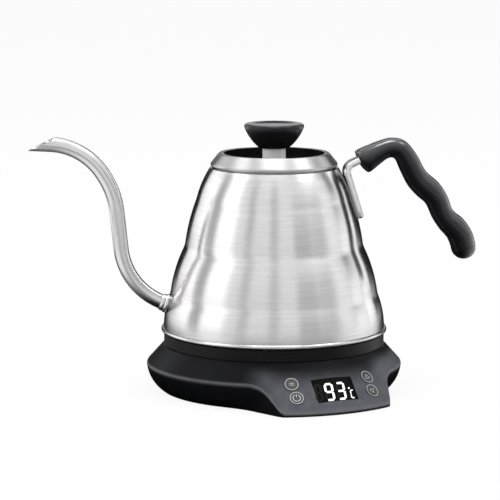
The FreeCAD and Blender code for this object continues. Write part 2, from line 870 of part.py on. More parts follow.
# Heater: steel plate that closes the vessel, aluminium spreader, ring element, cut-out and probe

PROBE_BEARING = 120
plate_disc = cylinder("plate_disc", "plate_radius", "plate_thickness", spot("0", "0", "plate_height"))
probe_low = "plate_height + plate_thickness + probe_rise - probe_length"
probe_place = around("probe_circle", PROBE_BEARING, probe_low)
probe_hole = cylinder("probe_hole", "probe_radius", "probe_length", probe_place)
keep(carved("plate_drilled", plate_disc, probe_hole), "heater_plate")
keep(cylinder("probe", "probe_radius", "probe_length", probe_place), "temperature_probe")
spreader = turned(
    "spreader",
    [
        ("spreader_bore", "spreader_foot"),
        ("spreader_radius", "spreader_foot"),
        ("spreader_radius", "plate_height"),
        ("spreader_bore", "plate_height"),
    ],
)
keep(spreader, "heat_spreader")
element = doc.addObject("Part::Torus", "element_ring")
element.setExpression("Radius1", bound("element_circle"))
element.setExpression("Radius2", bound("element_radius"))
element.setExpression("Angle3", bound("element_sweep"))
element.Placement = spot("0", "0", "spreader_foot - element_radius")
keep(element, "heating_element")
terminal_pins = []
for bearing, back in ((0, 90), (size("element_sweep"), -90)):
    tail = around("element_circle", bearing, "spreader_foot - element_radius")
    lie = FreeCAD.Placement(FreeCAD.Vector(), FreeCAD.Rotation(X_AXIS, back))
    terminal_pins.append(
        cylinder("tail_pin", "terminal_pin_radius", "terminal_pin_length", tail.multiply(lie))
    )
keep(grouped("tail_pins", terminal_pins), "element_terminals")
cutout_bearing = size("180 + element_sweep / 2")
cutout_place = around("cutout_circle", cutout_bearing, "spreader_foot - cutout_height")
keep(cylinder("cutout", "cutout_radius", "cutout_height", cutout_place), "boil_dry_cutout")

# Steel vessel, its rolled seam and a solid of its outer form that trims what is welded on


def tiers(inset):
    """The vessel's side from its foot to its neck, moved in by inset."""
    return [
        (f"vessel_radius - {inset}", "first_tier_bottom", "first_tier_curve", "right"),
        (f"first_crease_radius - {inset}", "first_crease_height", "second_tier_curve", "right"),
        (f"second_crease_radius - {inset}", "second_crease_height", "third_tier_curve", "right"),
        (f"third_crease_radius - {inset}", "third_crease_height", "fourth_tier_curve", "right"),
    ]


def reversed_tiers(inset):
    """The same side from neck to foot, for the inner face of the wall."""
    down = [(f"neck_radius - {inset}", f"neck_height - {inset}")] + tiers(inset)[::-1]
    curves = [corner[2] for corner in tiers(inset)][::-1]
    side = [corner[:2] + (curve, "left") for corner, curve in zip(down, curves)]
    return side + [down[-1][:2]]


vessel_form = turned(
    "vessel_form",
    [("0", "vessel_foot"), ("vessel_radius", "vessel_foot")]
    + tiers("0")
    + [("neck_radius", "neck_height"), ("0", "neck_height")],
)
vessel_shell = turned(
    "vessel_shell",
    [("vessel_radius - vessel_wall", "vessel_foot"), ("vessel_radius", "vessel_foot")]
    + tiers("0")
    + [
        ("neck_radius", "neck_height"),
        ("mouth_radius", "neck_height"),
        ("mouth_radius", "neck_height - vessel_wall"),
    ]
    + reversed_tiers("vessel_wall"),
)
bead_foot = "vessel_foot + bead_lift"
seam_ring = turned(
    "seam",
    [
        ("vessel_radius", bead_foot),
        ("vessel_radius + bead_root", bead_foot, "bead_curve", "right"),
        ("vessel_radius + bead_root", bead_foot + " + bead_height"),
        ("vessel_radius", bead_foot + " + bead_height"),
    ],
)
keep(seam_ring, "seam_ring")

# Gooseneck spout: a thin tube on straight runs joined by tangent arcs, cut slanting at the tip


def side_point(reach, height):
    """A point in the plane of spout and handle."""
    return FreeCAD.Vector(size(reach), 0, size(height))


def rounded_route(points, radii):
    """Edges through points, with each inner corner rounded by its radius."""
    edges = []
    last = points[0]
    for corner, before, after, radius in zip(points[1:-1], points, points[2:], radii):
        back = (before - corner).normalize()
        ahead = (after - corner).normalize()
        half = back.getAngle(ahead) / 2
        trim = radius / math.tan(half)
        middle = (back + ahead).normalize() * (radius / math.sin(half) - radius)
        start = corner + back * trim
        end = corner + ahead * trim
        edges.append(Part.LineSegment(last, start).toShape())
        edges.append(Part.Arc(start, corner + middle, end).toShape())
        last = end
    edges.append(Part.LineSegment(last, points[-1]).toShape())
    return edges


def rod(edges, radius):
    """A round rod along edges."""
    start = edges[0].Vertexes[0].Point
    section = Part.Wire(Part.makeCircle(radius, start, edges[0].tangentAt(edges[0].FirstParameter)))
    return Part.Wire(edges).makePipeShell([section], True, False)


SPOUT_RUNS = ("spout_root_run", "spout_rising_run", "spout_upper_run", "spout_tip_run")
SPOUT_BENDS = ("spout_lower_bend", "spout_middle_bend", "spout_upper_bend")
SPOUT_TURNS = ("spout_lower_turn", "-spout_middle_turn", "-spout_upper_turn")
spout_bends = [size(bend) for bend in SPOUT_BENDS]
spout_turns = [size(turn) for turn in SPOUT_TURNS]
spout_corners = [
    bend * math.tan(math.radians(abs(turn)) / 2) for bend, turn in zip(spout_bends, spout_turns)
]
run_lengths = [size(run) for run in SPOUT_RUNS]
run_slopes = [size("spout_root_slope")]
for number, corner in enumerate(spout_corners):
    run_lengths[number] += corner
    run_lengths[number + 1] += corner
    run_slopes.append(run_slopes[-1] + spout_turns[number])
spout_points = [side_point("spout_root_sink - vessel_radius", "vessel_foot + spout_root_rise")]
for run_length, run_slope in zip(run_lengths, run_slopes):
    heading = FreeCAD.Rotation(Y_AXIS, run_slope).multVec(-X_AXIS)
    spout_points.append(spout_points[-1] + heading * run_length)
spout_edges = rounded_route(spout_points, spout_bends)
doc.recompute()
vessel_solid = vessel_form.Shape
spout_outside = rod(spout_edges, size("spout_radius"))
spout_inside = rod(spout_edges, size("spout_radius - spout_wall"))
tip_turn = FreeCAD.Rotation(Y_AXIS, -size("tip_cut_angle"))
lip = spout_points[-1] - Z_AXIS * size("spout_radius")
waste_length = size("tip_cut_block")
tip_waste = Part.makeBox(waste_length, waste_length, waste_length)
tip_waste.translate(FreeCAD.Vector(-waste_length / 4, -waste_length / 2, 0))
tip_waste.Placement = FreeCAD.Placement(lip, tip_turn).multiply(tip_waste.Placement)
spout = spout_outside.cut(spout_inside).cut(vessel_solid).cut(tip_waste)
keep(formed("spout", spout), "spout_tube")
root_run = (spout_points[1] - spout_points[0]).normalize()
entry_length = size("spout_entry")
spout_entry = Part.makeCylinder(
    size("spout_radius - spout_wall"),
    entry_length,
    spout_points[0] - root_run * (entry_length / 2),
    root_run,
)
vessel_entry = formed("vessel_entry", spout_entry)
keep(carved("vessel", vessel_shell, vessel_entry), "vessel_body")
bend = spout_edges[1]
bend_share = size("collar_reach") / bend.Length
bend_last = bend.FirstParameter + (bend.LastParameter - bend.FirstParameter) * bend_share
collar_edges = [spout_edges[0], bend.Curve.toShape(bend.FirstParameter, bend_last)]
collar = rod(collar_edges, size("collar_radius")).cut(spout_outside).cut(vessel_solid)
keep(formed("collar", collar), "spout_collar")

# Handle: a bent steel strip welded to the vessel, and a waved plastic grip screwed over its end

strip_points = [
    side_point("third_crease_radius + strip_foot_reach", "third_crease_height - strip_foot_drop"),
    side_point("neck_radius + strip_corner_reach", "neck_height - strip_corner_drop"),
    side_point("neck_radius + strip_end_reach", "neck_height + strip_end_rise"),
]
strip_edges = rounded_route(strip_points, [size("strip_bend")])
strip_half_width = size("strip_width") / 2
strip_half_thick = size("strip_thickness") / 2
strip_run = strip_edges[0].tangentAt(strip_edges[0].FirstParameter)
strip_out = strip_run.cross(Y_AXIS)
strip_corners = [(-1, -1), (1, -1), (1, 1), (-1, 1), (-1, -1)]
strip_section = Part.makePolygon(
    [
        strip_points[0] + Y_AXIS * (strip_half_width * wide) + strip_out * (strip_half_thick * deep)
        for wide, deep in strip_corners
    ]
)
strip = Part.Wire(strip_edges).makePipeShell([strip_section], True, False)
long_edges = [edge for edge in strip.Edges if abs(abs(edge.CenterOfMass.y) - strip_half_width) < SAME_PLACE]
strip = strip.makeFillet(size("strip_edge"), long_edges)
strip_end_run = strip_edges[-1].tangentAt(strip_edges[-1].LastParameter)
screw_seat = strip_points[-1] - strip_end_run * size("grip_screw_inset")
screw_half = size("grip_width") / 2 - size("grip_screw_head")
shank_start = screw_seat - Y_AXIS * screw_half
shank = Part.makeCylinder(size("grip_screw_radius"), screw_half * 2, shank_start, Y_AXIS)
head_start = screw_seat + Y_AXIS * (screw_half - size("grip_screw_head"))
head = Part.makeCylinder(size("grip_screw_head_radius"), size("grip_screw_head"), head_start, Y_AXIS)
grip_screw = shank.fuse(head).removeSplitter()
keep(formed("grip_fastener", grip_screw), "grip_screw")
keep(formed("strip", strip.cut(vessel_solid).cut(grip_screw)), "handle_bracket")

# Each station of the grip: reach and rise of its middle from the neck's edge, half its depth in
# the side view, and the bearing of that depth in degrees; the width swells with the depth
GRIP_STATIONS = [
    (12.9, 4.2, 5.8, 113),
    (18.8, 4.6, 8.4, 93),
    (24.9, 8.0, 7.4, 92),
    (31.9, 11.1, 6.3, 84),
    (38.5, 9.7, 6.5, 62),
    (44.0, 1.5, 7.0, 42),
    (49.0, -7.7, 7.1, 38),
    (55.9, -14.7, 7.9, 30),
    (61.6, -21.7, 7.1, 18),
    (65.3, -30.1, 6.8, 20),
    (70.9, -36.5, 8.0, 22),
    (76.3, -43.7, 7.9, 12),
    (78.7, -51.0, 7.6, 4),
    (79.6, -56.1, 5.2, 2),
    (79.8, -58.5, 2.4, 1),
]
LOFT_DEGREE = 3
neck_edge = side_point("neck_radius", "neck_height")
grip_sections = []
deepest = max(station[2] for station in GRIP_STATIONS)
for reach, rise, half_depth, bearing in GRIP_STATIONS:
    half_width = size("grip_width") / 2 * math.sqrt(half_depth / deepest)
    stretch = FreeCAD.Matrix()
    stretch.scale(half_depth, half_width, 1)
    section = Part.makeCircle(1).transformGeometry(stretch)
    across = FreeCAD.Rotation(Y_AXIS, -bearing).multVec(X_AXIS)
    turn = FreeCAD.Rotation(across, Y_AXIS, across.cross(Y_AXIS), "XYZ")
    section.Placement = FreeCAD.Placement(neck_edge + FreeCAD.Vector(reach, 0, rise), turn)
    grip_sections.append(Part.Wire(section))
grip = Part.makeLoft(grip_sections, True, False, False, LOFT_DEGREE)
keep(formed("grip", grip.cut(strip).cut(grip_screw)), "handle_grip")

# Lid: bevelled steel rim with a skirt in the mouth, black dish, steel post and black knob

rim_edge = "lid_seat + lid_seam"
bevel_foot = rim_edge + " + lid_seam"
inner_foot = "lid_rim_radius - lid_foot_wall"
lid_rim = turned(
    "lid_steel",
    [
        ("lid_skirt_radius", "lid_seat - lid_skirt_depth"),
        ("lid_skirt_radius", "lid_seat"),
        ("lid_rim_radius - lid_seam_depth", "lid_seat"),
        ("lid_rim_radius - lid_seam_depth", rim_edge),
        ("lid_rim_radius", rim_edge),
        ("lid_rim_radius", bevel_foot),
        ("lid_top_radius", "lid_top"),
        ("lid_top_radius - lid_wall", "lid_top"),
        ("lid_top_radius - lid_wall", "lid_top - lid_wall"),
        (inner_foot, "lid_flange_top"),
        ("lid_skirt_radius - lid_skirt_wall", "lid_flange_top"),
        ("lid_skirt_radius - lid_skirt_wall", "lid_seat - lid_skirt_depth"),
    ],
)
keep(lid_rim, "lid_rim")
lip_radius = inner_foot + " - dish_lip - dish_gap"
lid_dish = turned(
    "dish",
    [
        ("knob_screw_radius", "lid_flange_top"),
        (lip_radius, "lid_flange_top"),
        (lip_radius, "lid_flange_top + dish_lip"),
        ("dish_radius", "lid_flange_top + dish_lip"),
        ("dish_radius", "lid_top - dish_gap"),
        ("dish_radius - dish_wall", "lid_top - dish_gap"),
        ("dish_radius - dish_wall", "dish_top"),
        ("knob_screw_radius", "dish_top"),
    ],
)
vents = []
for bearing in (160, 180, 200):
    vent_place = around("vent_circle", bearing, "lid_seat")
    vents.append(block("vent", "vent_width", "vent_length", "lid_height", vent_place))
keep(carved("dish_vented", lid_dish, fused("vent_cuts", vents)), "lid_dish")
knob_post = turned(
    "post",
    [
        ("knob_screw_radius", "dish_top"),
        ("post_radius", "dish_top"),
        ("post_radius", "post_top"),
        ("knob_screw_radius", "post_top"),
    ],
)
keep(knob_post, "knob_post")
screw_top = "post_top + knob_height / 2"
knob = turned(
    "knob_cup",
    [
        ("0", screw_top),
        ("knob_screw_radius", screw_top),
        ("knob_screw_radius", "post_top"),
        ("knob_foot_radius", "post_top", "knob_side_curve", "right"),
        ("knob_radius", "knob_top - knob_rim_drop", "knob_rim_curve", "right"),
        ("knob_radius - knob_rim_curve", "knob_top"),
        ("knob_radius - knob_rim_width", "knob_top"),
        ("knob_radius - knob_dish_inset", "knob_top - knob_dish_depth"),
        ("0", "knob_top - knob_dish_depth"),
    ],
)
keep(knob, "knob")
knob_screw = turned(
    "knob_fastener",
    [
        ("0", "lid_flange_top - knob_screw_head"),
        ("knob_screw_head_radius", "lid_flange_top - knob_screw_head"),
        ("knob_screw_head_radius", "lid_flange_top"),
        ("knob_screw_radius", "lid_flange_top"),
        ("knob_screw_radius", screw_top),
        ("0", screw_top),
    ],
)
keep(knob_screw, "knob_screw")

doc.recompute()
faults = [item.Name for item in doc.Objects if "Invalid" in item.State or "Error" in item.State]
for piece in nodes:
    if piece.Shape.isNull() or not piece.Shape.isValid():
        faults.append(piece.Label)
if faults:
    raise RuntimeError("failed objects: " + ", ".join(faults))
os.makedirs("parts", exist_ok=True)
for piece in nodes:
    piece.Shape.exportStep(f"parts/{piece.Label}.step")
    print(piece.Label, len(piece.Shape.Solids), round(piece.Shape.Volume, 1))
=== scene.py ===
import functools
from math import acos, asin, atan2, copysign, cos, hypot, pi, radians, sin, sqrt, tan, tau

import bmesh
import bpy
from mathutils import Matrix, Vector


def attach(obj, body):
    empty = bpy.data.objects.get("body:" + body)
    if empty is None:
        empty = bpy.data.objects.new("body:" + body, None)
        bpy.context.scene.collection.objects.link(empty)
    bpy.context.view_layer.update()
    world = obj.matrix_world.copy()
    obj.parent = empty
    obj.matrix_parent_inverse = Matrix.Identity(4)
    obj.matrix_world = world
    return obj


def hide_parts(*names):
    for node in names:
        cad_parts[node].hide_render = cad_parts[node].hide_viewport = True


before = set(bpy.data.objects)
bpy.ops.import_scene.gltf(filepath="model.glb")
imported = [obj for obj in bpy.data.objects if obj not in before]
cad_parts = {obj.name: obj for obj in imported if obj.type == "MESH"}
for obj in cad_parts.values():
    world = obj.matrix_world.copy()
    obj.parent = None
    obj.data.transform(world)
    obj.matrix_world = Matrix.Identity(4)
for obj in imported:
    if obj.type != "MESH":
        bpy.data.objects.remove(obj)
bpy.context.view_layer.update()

# Lower cover of the base: a flat injection-moulded plate of black plastic that closes the
# base from below. It takes four screws and carries the four rubber feet.


def fill(tree, socket, value):
    """Sets a socket to a value, or links it to a socket or a node's first output."""
    if isinstance(value, bpy.types.Node):
        value = value.outputs[0]
    if isinstance(value, bpy.types.NodeSocket):
        tree.links.new(value, socket)
    elif socket.type == "RGBA":
        socket.default_value = (*value, 1) if isinstance(value, tuple) else (value, value, value, 1)
    else:
        socket.default_value = value


def feed(tree, node, **values):
    """Makes a node's settings, which start with a small letter, and fills its inputs."""
    for label, value in values.items():
        if label[0].islower():
            setattr(node, label, value)
        else:
            fill(tree, node.inputs[label.replace("_", " ")], value)
    return node


def add(tree, kind, **values):
    """A new node in a tree, by its full kind or a shader node's short one."""
    kind = kind if "Node" in kind else "ShaderNode" + kind
    return feed(tree, tree.nodes.new(kind), **values)


def object_place(tree):
    """The place in a piece's own coordinates."""
    return add(tree, "TexCoord").outputs["Object"]


def noise(tree, scale, detail, roughness=0.5, where=None):
    """A noise texture over a piece, or read at another place."""
    where = where or object_place(tree)
    return add(tree, "TexNoise", Vector=where, Scale=scale, Detail=detail, Roughness=roughness)


def spread(tree, value, low, high, start=0.3, end=0.7):
    """Stretches a value between start and end to lie between low and high."""
    limits = {"From Min": start, "From Max": end, "To Min": low, "To Max": high}
    return add(tree, "MapRange", Value=value, **limits)


def shades(tree, value, dark, light):
    """A colour between two, picked by a value from 0 to 1."""
    return add(tree, "Mix", data_type="RGBA", Factor=value, A=dark, B=light).outputs["Result"]


def shader_group(name, label, *outputs):
    """A shader group: its tree, the number going in and its end."""
    group = bpy.data.node_groups.new(name, "ShaderNodeTree")
    group.interface.new_socket(label, in_out="INPUT", socket_type="NodeSocketFloat")
    for output in outputs:
        group.interface.new_socket(output, in_out="OUTPUT", socket_type="NodeSocketFloat")
    return group, group.nodes.new("NodeGroupInput").outputs[0], group.nodes.new("NodeGroupOutput")


mould_grain, grain_scale, grain_end = shader_group("mould_grain", "Grains Per Metre", "Height", "Patches")
grain_height = noise(mould_grain, grain_scale, 2.0, 0.6)
feed(mould_grain, grain_end, Height=grain_height, Patches=noise(mould_grain, 38.0, 3.0, 0.55))


def new_finish(name):
    """A material, its tree and its shader."""
    material = bpy.data.materials.new(name)
    material.use_nodes = True
    return material, material.node_tree, material.node_tree.nodes["Principled BSDF"]


def raised(tree, height, strength, depth):
    """The normals of a surface that a height raises."""
    return add(tree, "Bump", Strength=strength, Distance=depth, Height=height)


GRAIN_DEPTH = 0.00012


def moulded(name, dark, light, gloss, matt, grain=2600.0, relief=0.2, shine=0.5, **constants):
    """Moulded plastic with a fine grain, and faint patches of tone and gloss."""
    material, tree, shader = new_finish(name)
    texture = add(tree, "Group", node_tree=mould_grain, Grains_Per_Metre=grain).outputs
    feed(
        tree, shader,
        Base_Color=shades(tree, spread(tree, texture["Patches"], 0.0, 1.0), dark, light),
        Roughness=spread(tree, texture["Patches"], gloss, matt),
        Normal=raised(tree, texture["Height"], relief, GRAIN_DEPTH),
        Specular_IOR_Level=shine, **constants,
    )
    return material


def dress(material, *nodes):
    """Gives CAD nodes a finish through their material slots."""
    for name in nodes:
        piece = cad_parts[name]
        if not piece.material_slots:
            piece.data.materials.append(material)
        for slot in piece.material_slots:
            slot.material = material


dress(moulded("cover_black", (0.01, 0.01, 0.011), (0.016, 0.016, 0.017), 0.42, 0.55), "base_lower_cover")

# Rubber feet: four soft black pads pressed into the lower cover. They are compression-moulded,
# each with a rounded edge, a sunk middle and a dull skin.
MM = 0.001
BASE_TURN = radians(20.0)
FEET_CIRCLE = 52.0
SMALL_ROUND = 40
foot_rubber = moulded("foot_rubber", 0.014, (0.03, 0.029, 0.028), 0.72, 0.9, 5200.0, 0.5)


def open_tree(name, **inputs):
    """A geometry tree with named inputs and a finish, and what goes in."""
    tree = bpy.data.node_groups.new(name, "GeometryNodeTree")
    for label, kind in {"Geometry": "Geometry", **inputs, "Finish": "Material"}.items():
        tree.interface.new_socket(label.replace("_", " "), in_out="INPUT", socket_type="NodeSocket" + kind)
    tree.interface.new_socket("Geometry", in_out="OUTPUT", socket_type="NodeSocketGeometry")
    return tree, tree.nodes.new("NodeGroupInput").outputs


def reckon(tree, operation, *values):
    """A sum of numbers or sockets in a tree."""
    node = add(tree, "Math", operation=operation)
    for socket, value in zip(node.inputs, values):
        fill(tree, socket, value)
    return node


def close_tree(tree, entry, geometry):
    """Ends a tree: its copies made real and its finish set."""
    real = add(tree, "GeometryNodeRealizeInstances", Geometry=geometry)
    coat = add(tree, "GeometryNodeSetMaterial", Geometry=real, Material=entry["Finish"])
    add(tree, "NodeGroupOutput", Geometry=coat)


# A profile of points, turned about the upright axis.
turned_form, form_in = open_tree("turned_form", Steps_Round="Int")
tree = turned_form
rows = add(tree, "GeometryNodeAttributeDomainSize", Geometry=form_in["Geometry"])
columns = reckon(tree, "ADD", form_in["Steps Round"], 1)
sheet = add(tree, "GeometryNodeMeshGrid", Vertices_X=columns, Vertices_Y=rows)
point_number = tree.nodes.new("GeometryNodeInputIndex")
row = reckon(tree, "MODULO", point_number, rows)
column = reckon(tree, "DIVIDE", reckon(tree, "SUBTRACT", point_number, row), rows)
turn = reckon(tree, "MULTIPLY", reckon(tree, "DIVIDE", column, form_in["Steps Round"]), tau)
own_place = tree.nodes.new("GeometryNodeInputPosition")
profile_place = add(
    tree, "GeometryNodeSampleIndex", data_type="FLOAT_VECTOR",
    Geometry=form_in["Geometry"], Value=own_place, Index=row,
)
swing = add(tree, "VectorRotate", rotation_type="Z_AXIS", Vector=profile_place, Angle=turn)
bent = add(tree, "GeometryNodeSetPosition", Geometry=sheet, Position=swing)
close_tree(tree, form_in, bent)

# Copies of a piece, set round a circle about the upright axis.
set_round, round_in = open_tree("set_round", Count="Int", Circle_Radius="Float", First_Bearing="Float")
tree = set_round
circle = add(tree, "GeometryNodeMeshCircle", Vertices=round_in["Count"], Radius=round_in["Circle Radius"])
copies = add(tree, "GeometryNodeInstanceOnPoints", Points=circle, Instance=round_in["Geometry"])
turn = add(tree, "CombineXYZ", Z=round_in["First Bearing"])
close_tree(tree, round_in, add(tree, "GeometryNodeTransform", Geometry=copies, Rotation=turn))


def new_piece(name, data):
    """An object at the origin for a mesh, a lamp or a camera."""
    piece = bpy.data.objects.new(name, data)
    bpy.context.scene.collection.objects.link(piece)
    return piece


def worked(name, blank, tree=None, **values):
    """The blank as a plain mesh, after its modifiers and a tree."""
    if tree:
        step = blank.modifiers.new(tree.name, "NODES")
        step.node_group = tree
        for item in tree.interface.items_tree:
            label = item.name.replace(" ", "_")
            if label in values:
                step[item.identifier] = values[label]
    bpy.context.view_layer.update()
    data = bpy.data.meshes.new_from_object(blank.evaluated_get(bpy.context.evaluated_depsgraph_get()))
    bpy.data.objects.remove(blank)
    data.name = name
    return new_piece(name, data)


def smoothed(piece, sharp=30.0):
    """Merges points, turns faces outwards and shades smoothly, but for sharp edges."""
    mesh = bmesh.new()
    mesh.from_mesh(piece.data)
    bmesh.ops.remove_doubles(mesh, verts=mesh.verts, dist=1e-6)
    bmesh.ops.dissolve_degenerate(mesh, edges=mesh.edges, dist=1e-7)
    bmesh.ops.recalc_face_normals(mesh, faces=mesh.faces)
    mesh.to_mesh(piece.data)
    mesh.free()
    piece.data.shade_smooth()
    piece.data.set_sharp_from_angle(angle=radians(sharp))
    return piece


def turned(name, points, steps, material, sharp=30.0):
    """A turned piece from the points of its profile in millimetres."""
    data = bpy.data.meshes.new(name + "_line")
    data.from_pydata([(radius * MM, 0, height * MM) for radius, height in points], [], [])
    piece = worked(name, new_piece(name + "_line", data), turned_form, Steps_Round=steps, Finish=material)
    return smoothed(piece, sharp)


def between(steps, first=0.0, last=1.0):
    """Even steps between two numbers, without the first."""
    return [first + (last - first) * (number + 1) / steps for number in range(steps)]


def swept(middle, start, end, steps):
    """Points of an arc round a middle, without its start."""
    first = start - middle
    sweep = first.angle_signed(end - middle)
    return [middle + Matrix.Rotation(-sweep * share, 2) @ first for share in between(steps)]


def rounded(profile, radii, steps=5):
    """A profile with its inner corners rounded, each by its radius."""
    points = [profile[0]]
    for before, corner, after, radius in zip(profile, profile[1:], profile[2:], radii):
        corner = Vector(corner)
        back = (Vector(before) - corner).normalized()
        ahead = (Vector(after) - corner).normalized()
        half = acos(max(-1, min(1, back.dot(ahead)))) / 2
        if not radius:
            points.append(corner)
            continue
        trim = radius / tan(half)
        middle = corner + (back + ahead).normalized() * (radius / sin(half))
        start = corner + back * trim
        points += [start] + swept(middle, start, corner + ahead * trim, steps)
    return points + [profile[-1]]


foot_profile = rounded(
    [(0, 0.35), (3.6, 0.35), (4.0, 0), (6.0, 0), (6.0, 1.5), (0, 1.5)], [0.3, 0.3, 0.6, 0]
)
foot_pad = turned("foot_pad", foot_profile, SMALL_ROUND, foot_rubber)
feet = worked(
    "feet", foot_pad, set_round, Count=4, Circle_Radius=FEET_CIRCLE * MM,
    First_Bearing=BASE_TURN, Finish=foot_rubber,
)
smoothed(feet)
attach(feet, "base")
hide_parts("rubber_feet")

# Cover screws: four zinc-plated steel screws driven up through the lower cover into
# the posts of the upper shell. Each has a low head with a cross recess.


def plated(name, dark, light, gloss, matt, scale=240.0, detail=3.0):
    """Bright metal with a cloudy finish."""
    material, tree, shader = new_finish(name)
    cloud = noise(tree, scale, detail, 0.6)
    feed(
        tree, shader, Metallic=1.0,
        Base_Color=shades(tree, cloud, dark, light), Roughness=spread(tree, cloud, gloss, matt),
    )
    return material


def join_rows(mesh, one, two, closed=True):
    """Faces between two rows of points, which may be rings."""
    for number in range(len(one) if closed else len(one) - 1):
        after = (number + 1) % len(one)
        mesh.faces.new((one[number], one[after], two[after], two[number]))


def add_prism(mesh, outline, levels, placed):
    """A prism between two levels of an outline, placed by a function."""
    low, high = [[mesh.verts.new(placed(x, y, level)) for x, y in outline] for level in levels]
    mesh.faces.new(low[::-1])
    mesh.faces.new(high)
    join_rows(mesh, low, high)


def in_mm(place=Matrix()):
    """The function that takes points in millimetres to a place."""
    return lambda x, y, z: place @ (Vector((x, y, z)) * MM)


def built(name, mesh, material=None, closed=True):
    """The piece for a mesh; a closed one gets outward faces."""
    if closed:
        bmesh.ops.recalc_face_normals(mesh, faces=mesh.faces)
    data = bpy.data.meshes.new(name)
    mesh.to_mesh(data)
    mesh.free()
    if material:
        data.materials.append(material)
    return new_piece(name, data)


def cut_from(name, piece, cutter):
    """The piece with a cutter's form taken out of it."""
    step = piece.modifiers.new("cut", "BOOLEAN")
    step.operation, step.solver, step.object = "DIFFERENCE", "EXACT", cutter
    made = worked(name, piece)
    bpy.data.objects.remove(cutter)
    return made


screw_zinc = plated("screw_zinc", (0.5, 0.5, 0.49), (0.66, 0.66, 0.65), 0.25, 0.42)
SCREW_CIRCLE = 60.0
CROSS_ARM = 1.7
CROSS_HALF = 0.35
CROSS_LEVELS = (1.0, 2.05)
cross = []
for turn in range(4):
    quarter = Matrix.Rotation(turn * pi / 2, 2)
    for corner in ((CROSS_HALF, CROSS_HALF), (CROSS_HALF, CROSS_ARM), (-CROSS_HALF, CROSS_ARM)):
        cross.append(quarter @ Vector(corner))
recess = bmesh.new()
add_prism(recess, cross, CROSS_LEVELS, in_mm())
screw_profile = rounded(
    [(0, 1.5), (2.8, 1.5), (2.8, 2.5), (1.4, 2.5), (1.4, 12.6), (0, 13.5)], [0.35, 0.1, 0, 0.2]
)
screw_blank = turned("screw_blank", screw_profile, SMALL_ROUND, screw_zinc)
screw = cut_from("screw", screw_blank, built("recess", recess))
cover_screws = worked(
    "screws_in_cover", screw, set_round, Count=4, Circle_Radius=SCREW_CIRCLE * MM,
    First_Bearing=BASE_TURN + radians(45), Finish=screw_zinc,
)
smoothed(cover_screws)
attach(cover_screws, "base")
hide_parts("cover_screws")

# Power board: a glass-fibre board with its mains parts soldered to it, on four posts of the
# lower cover. Green lacquer covers thin copper tracks, and the small boards are the same.
TRACK_DEPTH = 0.00005
board_green, tree, shader = new_finish("board_green")
cells = add(tree, "TexVoronoi", feature="DISTANCE_TO_EDGE", Vector=object_place(tree), Scale=170.0)
track = spread(tree, cells, 1.0, 0.0, 0.04, 0.09)
feed(
    tree, shader,
    Base_Color=shades(tree, track, (0.006, 0.055, 0.022), (0.02, 0.12, 0.045)),
    Roughness=spread(tree, track, 0.22, 0.34, 0.0, 1.0),
    Normal=raised(tree, track, 0.4, TRACK_DEPTH),
)
dress(board_green, "power_board", "control_board", "button_board_left", "button_board_right")

# Relay, transformer, capacitor and terminal block: bought-in parts that stand on the power
# board. Their cases are moulded or wound, and each is soldered by its pins.
dress(moulded("relay_blue", (0.012, 0.03, 0.075), (0.018, 0.042, 0.1), 0.3, 0.42), "relay")
dress(moulded("winding_tape", (0.42, 0.28, 0.025), (0.55, 0.38, 0.04), 0.35, 0.5, 900.0, 0.3), "transformer")
dress(moulded("can_sleeve", (0.01, 0.014, 0.03), (0.016, 0.022, 0.045), 0.22, 0.34, 1200.0, 0.1), "capacitor")
dress(moulded("terminal_ivory", (0.52, 0.5, 0.42), (0.62, 0.6, 0.52), 0.4, 0.55), "terminal_block")

# Base half of the cordless connector: a black heat-proof moulding with a round boss that
# stands through the seat. A spring ring and a centre pin of brass carry the current.
connector_black = moulded("connector_black", (0.012, 0.012, 0.013), (0.02, 0.02, 0.021), 0.34, 0.46)
dress(connector_black, "base_connector", "kettle_connector")
contact_brass = plated("contact_brass", (0.46, 0.31, 0.1), (0.62, 0.44, 0.17), 0.2, 0.38)
dress(contact_brass, "contact_ring", "contact_pin", "connector_ring_blade", "connector_centre_pin")

# Cord gland: a soft black bush snapped into the back of the base where the mains lead enters.
# It is moulded in one with a flange inside the wall.
dress(foot_rubber, "cord_gland")

# Upper shell of the base: one black satin moulding with the round seat for the kettle and the
# wing that carries the sloping panel. Its edges are rounded, and it is cut for window and keys.
COOL_SHEEN = (0.84, 0.85, 1.0)
PANEL_SLOPE = radians(48.0)
DECK_RADIUS = 68.0
DECK_HEIGHT = 28.661
SHELL_FOOT = 0.4
SHELL_WALL = 2.2
SEAT_RADIUS = 65.0
SEAT_MIDDLE = 40.0
SEAT_FLOOR = 24.061
BOSS_HOLE = 18.3
SIDE_CURVE = 21.0
SIDE_MIDDLE = (57.58, 18.07)
WING_FRONT = 91.49
WING_SIDE = 64.9
WING_END = radians(60)
WING_TAPER = tan(radians(18.7))
NOSE_ROUND = 3.2
WING_BLEND = 6.0
EDGE_ROUND = 2.4
FOOT_BEVEL = (0.25, 0.3)
FINE_TURN = 0.5
COARSE_TURN = 2.0
FINE_HALF = 50.0


def marked(tree, mark, scale, least, most):
    """How strongly a piece marks its surface, a little unevenly."""
    attribute = add(tree, "Attribute", attribute_name=mark)
    uneven = spread(tree, noise(tree, scale, 3.0), least, most)
    return reckon(tree, "MULTIPLY", attribute.outputs["Fac"], uneven)


def painted_light_tone(material, mark, tone, share):
    """Mixes a painted light tone into a finish where a piece marks its surface."""
    tree = material.node_tree
    shader = tree.nodes["Principled BSDF"]
    plain = shader.inputs["Base Color"].links[0].from_socket
    amount = marked(tree, mark, 160.0, share * 0.75, share)
    feed(tree, shader, Base_Color=shades(tree, amount, plain, tone))


